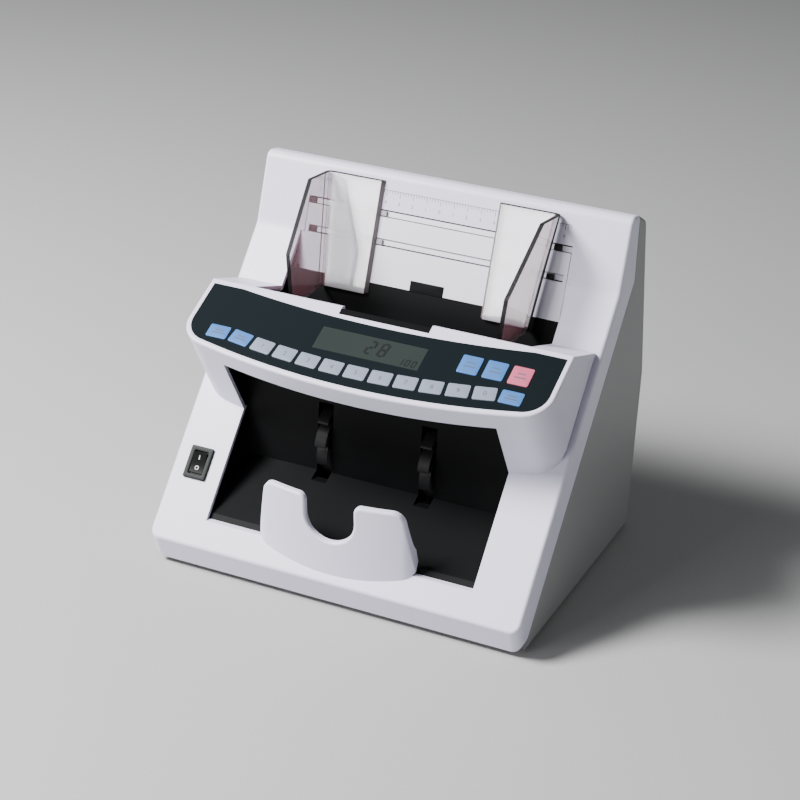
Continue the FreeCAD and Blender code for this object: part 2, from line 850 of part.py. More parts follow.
def note_guide(label, side):
    """Smoked L-shaped guide whose feet slide in the plate's slots."""
    body = new_body(label + "_sheet")
    sections = []
    levels = (("low", "guide_bottom", "guide_half_bottom"), ("high", "guide_top", "guide_half_top"))
    for name, height, half in levels:
        back = "(%s - guide_gap)" % upper_y(height)
        front = "(-guide_front - guide_sheet)"
        corners = [
            ("guide_inner", back), ("%s + guide_sheet" % half, back),
            ("%s + guide_sheet - guide_toe" % half, front), ("%s - guide_toe" % half, front),
            (half, "%s - guide_sheet" % back), ("guide_inner", "%s - guide_sheet" % back),
        ]
        placed = [("%d * (%s)" % (side, across), along) for across, along in corners]
        sections.append(outline(body, name, "XY_Plane", placed, lift=height))
    loft = body.newObject("PartDesign::AdditiveLoft", label + "_loft")
    loft.Profile = sections[0]
    loft.Sections = [sections[1]]
    loft.Ruled = True
    doc.recompute()
    ahead = "(-guide_front - 4 * guide_sheet)"
    over = "(guide_top + guide_sheet)"
    rim = [
        ("guide_peak", "guide_top"), ("-guide_front", "guide_kink"),
        ("-guide_front", "guide_bottom - guide_sheet"),
        (ahead, "guide_bottom - guide_sheet"), (ahead, over), ("rear_reach", over),
        ("rear_reach", "guide_flange_top"),
        ("%s - 2 * guide_sheet" % upper_y("guide_flange_top"), "guide_flange_top"),
    ]
    pocket(body, outline(body, "rim", "YZ_Plane", rim), "width")
    feet = []
    outer = "(guide_half_bottom - guide_foot_inset)"
    span = ["%d * (%s - guide_foot)" % (side, outer), "%d * %s" % (side, outer)]
    for name, height in (("upper", "upper_slot"), ("lower", "lower_slot")):
        feet.append(slab("%s_%s_foot" % (label, name), PLATE_FRAME, sorted(span, key=value),
                         ("-guide_gap - guide_sheet / 2", "plate_sheet + guide_foot_depth"),
                         (plate_rise("%s - slot_height / 2 + slide_gap" % height),
                          plate_rise("%s + slot_height / 2 - slide_gap" % height))))
    node(joined(label, [body] + feet))


# Stacker

def stacker_tray():
    """Black pocket that catches the counted notes."""
    body = new_body("stacker_tray_tub")
    back = "(-tray_back + tray_wall)"
    low = "(pocket_bottom - tray_wall)"
    top = "(tray_ceiling + tray_wall)"
    half = "(pocket_width / 2 + tray_wall)"
    wall_front = "(%s + console_wall + panel_gap)" % console_front(half)
    over_face = "(console_foot + sheet_gap)"
    side = [
        (face_inner_y(low) + " + sheet_gap", low),
        (face_inner_y("console_foot") + " + sheet_gap", "console_foot"),
        (console_line(wall_front, over_face), over_face),
        (console_line(wall_front, top), top), (back, top),
        (back, "%s - tray_wall / cos(tray_tilt)" % tray_z(back)),
        ("%s + 4 * tray_wall" % face_inner_y(low), low),
    ]
    pad(body, outline(body, "side", "YZ_Plane", side), "pocket_width + 2 * tray_wall")
    ahead = "(-2 * front_reach)"
    inside = [
        (face_y("pocket_bottom"), "pocket_bottom"), ("-tray_back", tray_z("-tray_back")),
        ("-tray_back", "tray_ceiling"), (ahead, "tray_ceiling"), (ahead, "pocket_bottom"),
    ]
    pocket(body, outline(body, "inside", "YZ_Plane", inside), "pocket_width")
    slots = []
    reach = "(stacker_radius + wheel_slot_gap)"
    chord = "sqrt(%s ^ 2 - (tray_back - tray_wall - stacker_back) ^ 2)" % reach
    for sign in ("", "-"):
        centre = sign + "stacker_across"
        slots.append(slab("wheel_slot_%d" % len(slots), UPRIGHT,
                          ("%s - stacker_width / 2 - wheel_slot_gap / 2" % centre,
                           "%s + stacker_width / 2 + wheel_slot_gap / 2" % centre),
                          ("-stacker_back - %s" % reach, "-stacker_back"),
                          ("stacker_height - %s" % chord, "stacker_height + %s" % chord)))
    node(cut("stacker_tray", body, slots))


def stacker_stop():
    """Bowed front stop with its finger notch."""
    plan = new_body("stop_plan")
    pad(plan, stop_outline(plan, "outer", "0"), "stop_height + stop_sheet", "stop_height")
    hollow = stop_outline(plan, "hollow", "stop_sheet")
    pocket(plan, hollow, "4 * stop_height")
    lean = "tan(face_lean + stop_lean)"
    below = [
        ("-stop_depth", "-stop_depth / %s" % lean), ("3 * stop_depth", "3 * stop_depth / %s" % lean),
        ("3 * stop_depth", "-2 * stop_height"), ("-stop_depth", "-2 * stop_height"),
    ]
    pocket(plan, outline(plan, "seat", "YZ_Plane", below), "4 * stop_half")
    front = new_body("stop_front")
    centre = "(notch_bottom + notch_half)"
    corners = [
        ("-stop_half", "-stop_height"), ("stop_half", "-stop_height"), ("stop_half", "0"),
        ("stop_shoulder", "stop_height"), ("notch_half", "stop_height"),
        ("notch_half", centre), ("-notch_half", centre), ("-notch_half", "stop_height"),
        ("-stop_shoulder", "stop_height"), ("-stop_half", "0"),
    ]
    rounds = {3: "stop_lug_round", 4: "notch_lip", 7: "notch_lip", 8: "stop_lug_round"}
    bows = {5: ("0", "notch_bottom")}
    pad(front, outline(front, "front", "XZ_Plane", corners, bows, rounds), "6 * stop_depth")
    for body in (plan, front):
        tilt(body, "-stop_reach", "band_top + (front_reach - stop_reach) / tan(face_lean)", "stop_lean")
    blank = common("stop_blank", plan, front)
    doc.recompute()
    stop = new_body("stacker_stop")
    stop.BaseFeature = blank
    doc.recompute()
    fillet(stop, stop_front_edge, "stop_edge_round")
    node(stop)


def stop_front_edge(edge):
    """Whether an edge runs along the front of the stop's upper outline."""
    lean = math.radians(value("stop_lean"))
    middle = edge.valueAt((edge.FirstParameter + edge.LastParameter) / 2)
    along = middle.y + value("stop_reach")
    up = middle.z - value("band_top + (front_reach - stop_reach) / tan(face_lean)")
    depth = along * math.cos(lean) + up * math.sin(lean)
    height = -along * math.sin(lean) + up * math.cos(lean)
    across = abs(middle.x)
    notch = across < value("notch_half") + 0.01 and height > value("notch_bottom") - 0.01
    top = height > value("stop_height - stop_lug_round")
    bow = value("stop_bow") - math.sqrt(value("stop_bow") ** 2 - across ** 2)
    upright = edge.BoundBox.XLength < 0.01 and not notch
    return (notch or top) and abs(depth - bow) < 0.5 and not upright


def stop_outline(body, name, inset):
    """Bowed stop in plan, drawn in by an inset."""
    half = "(stop_half - (%s))" % inset
    bow = "(stop_bow - (%s))" % inset
    corner = "(stop_corner - (%s))" % inset
    depth = "(stop_depth + (%s))" % inset
    apex = inset
    return bowed_outline(body, name, half, apex, bow, corner, depth)


def bowed_sides(half, apex, bow, corner, depth):
    """Right half of an outline with a bowed front edge and round front corners.

    The front edge bulges to -Y. Gives the tangent points and the corner
    arc's middle, from the front edge to the side.
    """
    reach = "(%s - %s)" % (half, corner)
    drop = "sqrt((%s - %s) ^ 2 - %s ^ 2)" % (bow, corner, reach)
    centre = "(%s + %s - %s)" % (apex, bow, drop)
    grow = "(%s / (%s - %s))" % (bow, bow, corner)
    front = ("(%s * %s)" % (reach, grow), "(%s + %s - %s * %s)" % (apex, bow, drop, grow))
    side = (half, centre)
    turn = "(45 deg - asin(%s / (%s - %s)) / 2)" % (reach, bow, corner)
    middle = ("(%s + %s * cos(%s))" % (reach, corner, turn), "(%s - %s * sin(%s))" % (centre, corner, turn))
    return front, middle, side


def bowed_outline(body, name, half, apex, bow, corner, depth, back_half=None, back_sag=None):
    """Sketch with a bowed front edge, round front corners and a straight or bowed back."""
    front, middle, side = bowed_sides(half, apex, bow, corner, depth)
    left = [(minus(front[0]), front[1]), (minus(side[0]), side[1])]
    bows = {0: (minus(middle[0]), middle[1])}
    corners = [left[1], left[0], front, side, (half, depth)]
    bows[1] = ("0", apex)
    bows[2] = middle
    if back_half is not None:
        corners += [(back_half, depth), (minus(back_half), depth)]
        bows[5] = ("0", "%s - %s" % (depth, back_sag))
    corners.append((minus(half), depth))
    return outline(body, name, "XY_Plane", corners, bows)


# Console

def console_front(across):
    """The console's front wall in its own frame, at a distance from the middle."""
    bow = "(panel_bow + console_rim)"
    return "(-panel_front - console_rim + %s - sqrt(%s ^ 2 - (%s) ^ 2))" % (bow, bow, across)


def console_line(inset, height):
    """Where a line along the console's walls passes a height."""
    rise = "((%s) - key_row_height - (%s) * sin(console_lean)) / cos(console_lean)" % (height, inset)
    return "(-key_row_reach + (%s) * cos(console_lean) - %s * sin(console_lean))" % (inset, rise)


def console_block(label, inset, open_foot):
    """Console as a solid, drawn in by an inset on every side."""
    body = new_body(label)
    half = "(panel_half + console_rim - (%s))" % inset
    apex = "(-panel_front - console_rim + (%s))" % inset
    bow = "(panel_bow + console_rim - (%s))" % inset
    corner = "(panel_corner + console_rim - (%s))" % inset
    deep = "(2 * panel_back)"
    pad(body, bowed_outline(body, "plan", half, apex, bow, corner, deep), "panel_back", "2 * console_drop")
    swing = "(console_lean - panel_tilt)"
    sink = "((%s) / cos(%s))" % (inset, swing)
    lip = "(panel_back + console_lip - (%s) / 2)" % inset
    lip_z = "(-%s * tan(%s) - %s)" % (lip, swing, sink)
    fall = "tan(console_lean + console_slope)"
    lid = [
        ("-panel_back", "panel_back * tan(%s) - %s" % (swing, sink)), (lip, lip_z),
        ("3 * panel_back", "%s - (3 * panel_back - %s) * %s" % (lip_z, lip, fall)),
        ("3 * panel_back", "2 * panel_back"), ("-panel_back", "2 * panel_back"),
    ]
    pocket(body, outline(body, "lid", "YZ_Plane", lid), "2 * width")
    if not open_foot:
        slope = value("tan(%s)" % swing)
        ridge = value(lip)

        def lid_rim(edge):
            ends = [edge.valueAt(place) for place in edge.ParameterRange]
            middle = edge.valueAt(sum(edge.ParameterRange) / 2)
            level = all(abs(spot.z + spot.y * slope) < 0.01 for spot in ends + [middle])
            return level and middle.y < ridge - 0.01

        fillet(body, lid_rim, "console_edge_round")
        rise = "tan(90 - face_lean - console_lean)"
        offset_y = "(-front_reach + key_row_reach)"
        offset_z = "(band_top - key_row_height)"
        foot_y = "(%s * cos(console_lean) + %s * sin(console_lean))" % (offset_y, offset_z)
        foot_z = "(-%s * sin(console_lean) + %s * cos(console_lean))" % (offset_y, offset_z)
        line = "(%s + ((%%s) - %s) * %s)" % (foot_z, foot_y, rise)
        seat = [
            ("-2 * panel_back", line % "-2 * panel_back"), ("4 * panel_back", line % "4 * panel_back"),
            ("4 * panel_back", "-4 * console_drop"), ("-2 * panel_back", "-4 * console_drop"),
        ]
        pocket(body, outline(body, "seat", "YZ_Plane", seat), "2 * width")
    tilt(body, *CONSOLE_FRAME)
    return body


def console():
    """Overhanging console: shell, keypad, display and their boards."""
    block = console_block("console_block", "0", False)
    hollow = console_block("console_hollow", "console_wall", True)
    mouth = slab("console_mouth", CONSOLE_FRAME, ("-pocket_width / 2", "pocket_width / 2"),
                 ("-2 * panel_front", "panel_front"), ("-2 * console_drop", "-pocket_top"))
    hopper_cut = slab("console_hopper", UPRIGHT, ("-hopper_width / 2", "hopper_width / 2"),
                      ("-hopper_front", "rear_reach"), ("console_foot", "top_height"))
    finger = slab("finger_notch", UPRIGHT, ("-finger_half", "finger_half"),
                  ("-hopper_front - hopper_wall - console_lip", "rear_reach"),
                  ("hopper_floor + hopper_wall", "top_height"))
    window = panel_body("panel_window", "-panel_ledge", "console_wall * 2", "console_wall")
    seat = panel_body("panel_seat", "panel_gap", "panel_sheet", "console_wall")
    foot_frame = (face_y("console_foot"), "console_foot", FACE_TILT)
    side = "(panel_half + console_rim)"
    spans = ((side + " - console_reveal", side + " + wall"),
             ("-%s - wall" % side, "-%s + console_reveal" % side))
    reveals = [slab("console_reveal_%d" % number, foot_frame, span, ("-console_drop", "4 * console_drop"),
                    ("-wall", "console_reveal"))
               for number, span in enumerate(spans)]
    shell = cut("console_shell", block, [hollow, mouth, hopper_cut, finger, window, seat] + reveals)
    posts = []
    board_top = "(-key_show - key_body + key_show - key_float)"
    places = ("-3 * post_across / 2", "-post_across", "post_across", "3 * post_across / 2")
    for number, across in enumerate(places):
        posts.append(panel_post("console_post_%d" % number, across, board_top))
    node(joined("console_cover", [shell] + posts))
    plate = panel_body("keypad_blank", "0", "panel_sheet", "0")
    through = "2 * panel_sheet"
    holes = [key_body("%s_hole" % name, name, "key_gap", through, through) for name in key_names()]
    holes.append(slab("display_hole", PANEL_FRAME, display_span("0"), display_run("0"),
                      ("-2 * panel_sheet", "panel_sheet")))
    node(cut("keypad_panel", plate, holes))
    node(slab("display_window", PANEL_FRAME, display_span("-display_gap"), display_run("-display_gap"),
              ("-panel_sheet", "-panel_sheet + display_glass")))
    node(slab("display_module", PANEL_FRAME, display_span("display_margin"), display_run("display_margin"),
              (board_top, "-panel_sheet")))
    board = new_body("keypad_board")
    board_plan = bowed_outline(board, "plan", "board_half", "-board_front", "panel_bow", "key_round",
                               "board_back")
    sheet_pad(board, board_plan, "%s - board_sheet" % board_top, "board_sheet")
    node(tilt(board, *PANEL_FRAME))
    for name in key_names():
        node(key_body(name, name, "0", "key_show", "key_body"))


def panel_body(label, grow, depth, above):
    """A solid with the keypad's outline, in the keypad's frame."""
    body = new_body(label)
    half = "(panel_half + (%s))" % grow
    apex = "(-panel_front - (%s))" % grow
    bow = "(panel_bow + (%s))" % grow
    corner = "(panel_corner + (%s))" % grow
    back = "(panel_back + (%s))" % grow
    sketch = bowed_outline(body, "plan", half, apex, bow, corner, back, "panel_back_half", "panel_back_sag")
    sheet_pad(body, sketch, minus(depth), "(%s) + (%s)" % (depth, above))
    tilt(body, *PANEL_FRAME)
    return body


def panel_post(label, across, low):
    """A boss under the console's top that holds the keypad board."""
    cylinder = doc.addObject("Part::Cylinder", label)
    cylinder.Label = label
    bind(cylinder, "Radius", "post_radius")
    bind(cylinder, "Height", "-console_wall / 2 - %s" % low)
    origin_y, origin_z, angle = PANEL_FRAME
    rise = "(panel_back - post_radius - panel_ledge / 2)"
    tilt(cylinder, "%s + %s * cos(%s) - %s * sin(%s)" % (origin_y, rise, angle, low, angle),
         "%s + %s * sin(%s) + %s * cos(%s)" % (origin_z, rise, angle, low, angle), angle)
    bind(cylinder, "Placement.Base.x", across)
    return cylinder


def display_span(grow):
    """The display from left to right."""
    return "-display_width / 2 - (%s)" % grow, "display_width / 2 + (%s)" % grow


def display_run(grow):
    """The display from front to back, in the keypad's frame."""
    half = "(display_depth / 2 + (%s))" % grow
    return "display_rise - %s" % half, "display_rise + %s" % half


def key_names():
    """Every key, row by row."""
    return ROW_KEYS + UPPER_KEYS


def key_place(name):
    """A key's middle, size and turn in the keypad's frame."""
    if name in UPPER_KEYS:
        across = "(upper_key_start + %d * key_pitch)" % UPPER_KEYS.index(name)
        return across, "upper_key_rise", "upper_key_width", "upper_key_depth", "0"
    middle = len(ROW_KEYS) // 2
    step = ROW_KEYS.index(name) - middle
    across = "(%d * key_pitch)" % step
    if abs(step) == middle:
        return across, "end_key_rise", "key_width", "key_depth", "0"
    turn = "asin(%s / key_row_bow)" % across
    rise = "(key_row_bow - sqrt(key_row_bow ^ 2 - %s ^ 2))" % across
    return across, rise, "key_width", "key_depth", turn


def key_body(label, name, grow, above, below):
    """A key's cap, or the hole it works in when it is grown by its clearance."""
    body = new_body(label)
    across, rise, wide, deep, turn = key_place(name)
    corners = []
    for right, back in ((-1, -1), (1, -1), (1, 1), (-1, 1)):
        side = "(%d * (%s / 2 + (%s)))" % (right, wide, grow)
        front = "(%d * (%s / 2 + (%s)))" % (back, deep, grow)
        corners.append(("%s + %s * cos(%s) - %s * sin(%s)" % (across, side, turn, front, turn),
                        "%s + %s * sin(%s) + %s * cos(%s)" % (rise, side, turn, front, turn)))
    rounds = {number: "key_round" for number in range(4)}
    pad(body, outline(body, "plan", "XY_Plane", corners, rounds=rounds), above, below)
    tilt(body, *PANEL_FRAME)
    return body


# Power switch

def switch_span(inset):
    """The switch from left to right."""
    half = "(switch_width / 2 - (%s))" % inset
    return "-switch_across - %s" % half, "-switch_across + %s" % half


def switch_run(inset):
    """The switch along the face."""
    return "-switch_length / 2 + (%s)" % inset, "switch_length / 2 - (%s)" % inset


def power_switch():
    """Bezel with its case behind the face, and the rocker in it."""
    bezel = slab("switch_bezel", SWITCH_FRAME, switch_span("0"), switch_run("0"), ("0", "switch_show"))
    case = slab("switch_case", SWITCH_FRAME, switch_span("switch_border"), switch_run("switch_border"),
                ("-switch_depth", "switch_show"))
    well_inset = "switch_border + switch_border / 2"
    well = slab("switch_well", SWITCH_FRAME, switch_span(well_inset), switch_run(well_inset),
                ("-rocker_depth - 2 * rocker_gap", "2 * switch_show"))
    node(cut("switch_housing", joined("switch_block", [bezel, case]), [well]))
    body = new_body("power_rocker")
    half = "(switch_length / 2 - switch_border * 3 / 2 - rocker_gap)"
    swing = "tan(rocker_swing)"
    corners = [
        (minus(half), "-rocker_depth + %s * %s" % (half, swing)), ("0", "-rocker_depth"),
        (half, "-rocker_depth + %s * %s" % (half, swing)),
        (half, "rocker_rise"), ("0", "rocker_rise - %s * %s" % (half, swing)),
        (minus(half), "rocker_rise - 2 * %s * %s" % (half, swing)),
    ]
    rocker_width = "switch_width - 3 * switch_border - 2 * switch_gap"
    pad(body, outline(body, "side", "YZ_Plane", corners), rocker_width)
    tilt(body, SWITCH_FRAME[0], SWITCH_FRAME[1], FACE_TILT)
    bind(body, "Placement.Base.x", "-switch_across")
    node(body)


# Mechanism

def shaft_places():
    """Each shaft's centre."""
    return {"pickup": PICKUP, "feed": FEED, "separator": SEPARATOR, "stacker": STACKER}


STAYS = (
    ("rear", "rear_stay_along", "rear_stay_height"),
    ("upper", "upper_stay_along", "upper_stay_height"),
    ("front", "-front_stay_along", "front_stay_height"),
)


def side_frame(label, side):
    """Steel side frame with its bearing seats and foot flange."""
    body = new_body(label + "_sheet")
    margin = "(wall + tray_wall)"
    corners = [
        ("-foot_front", BASE_TOP), ("rear_reach - 3 * cover_wall", BASE_TOP),
        ("rear_reach - 3 * cover_wall", "rear_knee - 4 * cover_wall"),
        (rear_y(FRAME_TOP, "14 * cover_wall"), FRAME_TOP),
        ("%s + %s" % (face_inner_y(FRAME_TOP), margin), FRAME_TOP),
        ("%s + %s" % (face_inner_y("console_foot"), margin), "console_foot"),
        ("%s + 2 * %s" % (face_inner_y("pocket_bottom"), margin), "pocket_bottom"),
    ]
    sketch = outline(body, "side", "YZ_Plane", corners)
    for place in shaft_places().values():
        add_circle(sketch, "bearing_radius", place)
    if side > 0:
        add_circle(sketch, "motor_boss + shaft_gap", MOTOR)
    sheet_pad(body, sketch, "frame_inner" if side > 0 else "-frame_inner - frame_sheet", "frame_sheet")
    span = (FRAME_OUTER, "%s + frame_flange" % FRAME_OUTER)
    if side < 0:
        span = (minus(span[1]), minus(span[0]))
    flange = slab(label + "_flange", UPRIGHT, span,
                  ("-foot_front + frame_flange", "rear_reach - 8 * cover_wall"),
                  (BASE_TOP, "%s + frame_sheet" % BASE_TOP))
    node(joined(label, [body, flange]))


def bearings():
    """Bearings of the four shafts in both side frames."""
    rings = []
    for name, place in shaft_places().items():
        for side, start in (("right", "frame_inner - bearing_inset"),
                            ("left", "-frame_inner + bearing_inset - bearing_width")):
            rings.append(ring("%s_%s_bearing" % (name, side), "bearing_radius", "shaft_radius + shaft_gap",
                              start, "%s + bearing_width" % start, place))
    node(group("shaft_bearings", rings))


def stays():
    """Rods that tie the side frames together."""
    rods = [rod("%s_stay" % name, "stay_radius", "-frame_inner", "frame_inner", (along, height))
            for name, along, height in STAYS]
    node(group("stay_bars", rods))


def belt_lane(number):
    """Start of one of the belt lanes outside the right frame."""
    return "(belt_start + %d * belt_step)" % number


def shafts():
    """Plain shafts, from beyond the left bearing to their last pulley."""
    last_lane = {"pickup": 2, "feed": 2, "stacker": 1}
    left = "-frame_inner + bearing_inset - bearing_width - shaft_stub"
    for name, place in shaft_places().items():
        right = "frame_inner - bearing_inset + bearing_width"
        if name in last_lane:
            right = "%s + belt_width + pulley_flange" % belt_lane(last_lane[name])
        node(rod(name + "_shaft", "shaft_radius", left, right, place))


def rollers():
    """Rubber rollers of the pickup, feed and separator shafts."""
    for name, across in (("pickup", "pickup_across"), ("feed", "feed_across"), ("separator", "feed_across")):
        pieces = []
        for sign in ("", "-"):
            centre = sign + across
            start = "%s - %s_width / 2" % (centre, name)
            pieces.append(ring("%s_roller_%d" % (name, len(pieces)), name + "_radius",
                               "shaft_radius + shaft_gap", start, "%s + %s_width" % (start, name),
                               shaft_places()[name]))
        node(group(name + "_rollers", pieces))


def stacker_wheels():
    """Two wheels of curved vanes that lay the notes in the tray."""
    wheels = []
    for name, sign in (("right", ""), ("left", "-")):
        body = new_body("stacker_wheel_" + name)
        inner = "(stacker_hub - 1)"
        mid = "((stacker_hub + stacker_radius) / 2)"
        half_twist = "(vane_twist * 2 / 5)"
        corners = [
            (polar(inner, "0")), (polar("stacker_radius", "vane_twist")),
            (polar("stacker_radius", "vane_twist + vane_angle / 3")), (polar(inner, "2 * vane_angle")),
        ]
        bows = {0: polar(mid, half_twist), 2: polar(mid, half_twist + " + vane_angle")}
        vane = pad(body, outline(body, "vane", "YZ_Plane", corners, bows), "stacker_width")
        pattern = body.newObject("PartDesign::PolarPattern", body.Label + "_vanes")
        pattern.Originals = [vane]
        pattern.Axis = (next(part for part in body.Origin.OriginFeatures if part.Role == "X_Axis"), [""])
        pattern.Angle = 360
        pattern.Occurrences = VANES
        body.Tip = pattern
        doc.recompute()
        hub = circle_sketch(body, "hub", "YZ_Plane", "stacker_hub")
        add_circle(hub, "shaft_radius + shaft_gap", ("0", "0"))
        pad(body, hub, "stacker_width")
        bind(body, "Placement.Base.x", sign + "stacker_across")
        bind(body, "Placement.Base.y", STACKER[0])
        bind(body, "Placement.Base.z", STACKER[1])
        wheels.append(body)
    node(group("stacker_wheels", wheels))


def polar(radius, angle):
    """A sketch point by radius and angle."""
    return "(%s) * cos(%s)" % (radius, angle), "(%s) * sin(%s)" % (radius, angle)


def pulley(label, radius, bore, lane, place):
    """A flanged belt pulley."""
    start = belt_lane(lane)
    end = "%s + belt_width" % start
    drum = rod(label + "_drum", radius, start, end, place)
    rims = []
    for side, edge in (("near", "%s - pulley_flange" % start), ("far", end)):
        rims.append(rod("%s_%s_rim" % (label, side), "%s + belt_gap + belt_sheet" % radius,
                        edge, "%s + pulley_flange" % edge, place))
    hole = rod(label + "_hole", bore, "%s - 2 * pulley_flange" % start, "%s + 2 * pulley_flange" % end, place)
    return cut(label, joined(label + "_blank", [drum] + rims), [hole])


def belt(label, lane, one, other):
    """A flat belt round two pulleys, each a centre and a radius."""
    body = new_body(label)
    sketch = body.newObject("Sketcher::SketchObject", label + "_loop")
    sketch.AttachmentSupport = [(origin_plane(body, "YZ_Plane"), "")]
    sketch.MapMode = "FlatFace"
    for skin in ("belt_gap", "belt_gap + belt_sheet - shaft_gap"):
        loop = belt_points(one[0], "%s + %s" % (one[1], skin), other[0], "%s + %s" % (other[1], skin))
        trace(sketch, *loop)
    sheet_pad(body, sketch, "%s + shaft_gap" % belt_lane(lane), "belt_width - 2 * shaft_gap")
    return body


def belt_points(one, radius, other, far_radius):
    """Tangent points of two circles, and the middle of each arc round them."""
    run = "hypot(%s - %s; %s - %s)" % (other[0], one[0], other[1], one[1])
    heading = "atan2(%s - %s; %s - %s)" % (other[1], one[1], other[0], one[0])
    spread = "acos((%s - (%s)) / %s)" % ("(%s)" % radius, far_radius, run)

    def rim(centre, size, angle):
        across, up = polar(size, angle)
        return "%s + %s" % (centre[0], across), "%s + %s" % (centre[1], up)

    right = "%s - %s" % (heading, spread)
    left = "%s + %s" % (heading, spread)
    corners = [rim(one, radius, right), rim(other, far_radius, right),
               rim(other, far_radius, left), rim(one, radius, left)]
    bows = {1: rim(other, far_radius, heading), 3: rim(one, radius, "%s + 180 deg" % heading)}
    return corners, bows


def drive():
    """Motor, pulleys and belts at the right side frame."""
    bore = "shaft_radius + shaft_gap"
    can = rod("motor_can", "motor_radius", "frame_inner - motor_length", "frame_inner", MOTOR)
    boss = rod("motor_boss_disc", "motor_boss", "frame_inner - frame_sheet", FRAME_OUTER, MOTOR)
    hole = rod("motor_bore", "shaft_radius + shaft_gap", "frame_inner - motor_length / 2",
               "frame_inner + 2 * frame_sheet", MOTOR)
    node(cut("drive_motor", joined("motor_body", [can, boss]), [hole]))
    node(rod("motor_shaft", "shaft_radius", "frame_inner - motor_length / 2 + shaft_gap",
             "%s + belt_width + pulley_flange" % belt_lane(0), MOTOR))
    node(pulley("motor_pulley_wheel", "motor_pulley", bore, 0, MOTOR))
    node(group("feed_pulleys", [
        pulley("feed_drive_pulley", "feed_pulley", bore, 0, FEED),
        pulley("feed_stacker_pulley", "branch_pulley", bore, 1, FEED),
        pulley("feed_pickup_pulley", "branch_pulley", bore, 2, FEED),
    ]))
    node(pulley("stacker_pulley_wheel", "stacker_pulley", bore, 1, STACKER))
    node(pulley("pickup_pulley_wheel", "pickup_pulley", bore, 2, PICKUP))
    node(belt("motor_belt", 0, (MOTOR, "motor_pulley"), (FEED, "feed_pulley")))
    node(belt("stacker_belt", 1, (FEED, "branch_pulley"), (STACKER, "stacker_pulley")))
    node(belt("pickup_belt", 2, (FEED, "branch_pulley"), (PICKUP, "pickup_pulley")))


# Electrics

def inlet_span(inset):
    """The mains inlet from left to right."""
    return "-inlet_left + (%s)" % inset, "-inlet_left + inlet_width - (%s)" % inset


def inlet_rise(inset):
    """The mains inlet from bottom to top."""
    return "inlet_bottom + (%s)" % inset, "inlet_bottom + inlet_tall - (%s)" % inset


def electrics():
    """Main board, transformer, mains inlet and note sensors."""
    board_top = "(%s + board_sheet)" % BOARD_LOW
    reach = ("-main_board_half", "main_board_half")
    sheet_box = slab("main_board_sheet", UPRIGHT, reach, ("-main_board_front", "main_board_back"),
                     (BOARD_LOW, board_top))
    chips = []
    for across in ("-main_board_half / 2", "0", "main_board_half / 2"):
        chips.append(slab("chip_%d" % len(chips), UPRIGHT,
                          (across + " - chip_width / 2", across + " + chip_width / 2"), ("-chip_width", "0"),
                          (board_top, "%s + chip_height" % board_top)))
    node(joined("main_board", [sheet_box] + chips))
    left = "-transformer_left"
    right = "(-transformer_left + transformer_length)"
    front = "(rear_reach - transformer_back - transformer_depth)"
    middle = "(%s + transformer_depth / 2)" % front
    core = slab("transformer_core", UPRIGHT, (left, right),
                ("%s - core_depth / 2" % middle, "%s + core_depth / 2" % middle),
                (BASE_TOP, "%s + transformer_tall" % BASE_TOP))
    coil = slab("transformer_coil", UPRIGHT, ("%s + 2 * coil_inset" % left, "%s - 2 * coil_inset" % right),
                (front, "%s + transformer_depth" % front),
                ("%s + coil_inset" % BASE_TOP, "%s + transformer_tall - coil_inset" % BASE_TOP))
    node(joined("transformer", [core, coil]))
    seat = "(rear_reach - cover_wall)"
    flange = slab("inlet_plate", UPRIGHT, inlet_span("0"), (seat + " - inlet_flange", seat), inlet_rise("0"))
    shell = slab("inlet_shell", UPRIGHT, inlet_span("inlet_border"),
                 ("rear_reach - inlet_depth", "rear_reach"), inlet_rise("inlet_border"))
    well = slab("inlet_hollow", UPRIGHT, inlet_span("inlet_border * 5 / 3"),
                ("rear_reach - inlet_well", "rear_reach + inlet_flange"), inlet_rise("inlet_border * 5 / 3"))
    cup = cut("inlet_cup", joined("inlet_block", [flange, shell]), [well])
    pins = []
    centre = "(-inlet_left + inlet_width / 2)"
    height = "(inlet_bottom + inlet_tall / 2)"
    for step, lift in ((-1, "-pin_width / 2"), (0, "pin_width"), (1, "-pin_width / 2")):
        across = "(%s + %d * inlet_width / 4)" % (centre, step)
        level = "(%s + %s)" % (height, lift)
        pins.append(slab("inlet_pin_%d" % len(pins), UPRIGHT,
                         ("%s - pin_width / 2" % across, "%s + pin_width / 2" % across),
                         ("rear_reach - inlet_well - pin_width", "rear_reach - inlet_well + pin_length"),
                         ("%s - pin_tall / 2" % level, "%s + pin_tall / 2" % level)))
    node(joined("mains_inlet", [cup] + pins))
    node(slab("note_sensor_bar", UPRIGHT, ("-frame_inner", "frame_inner"),
              ("sensor_along - sensor_size / 2", "sensor_along + sensor_size / 2"),
              ("sensor_height - sensor_size / 2", "sensor_height + sensor_size / 2")))


def screws():
    """Screws under the base plate that hold the side frames."""
    pieces = []
    for side in ("", "-"):
        across = "%s(%s + frame_flange / 2)" % (side, FRAME_OUTER)
        for along in ("-foot_front + 3 * frame_flange", "0", "rear_reach - 5 * frame_flange"):
            number = len(pieces)
            pieces.append(post("screw_%d" % number, "screw_radius", "foot_height - screw_head", "foot_height",
                               across, along))
    node(group("base_screws", pieces))


def build():
    """Make every sub-part."""
    fill_sheet()
    front_cover()
    rear_cover()
    base()
    hopper()
    note_guide("left_note_guide", -1)
    note_guide("right_note_guide", 1)
    stacker_tray()
    stacker_stop()
    console()
    power_switch()
    side_frame("left_side_frame", -1)
    side_frame("right_side_frame", 1)
    bearings()
    stays()
    shafts()
    rollers()
    stacker_wheels()
    drive()
    electrics()
    screws()
    doc.recompute()


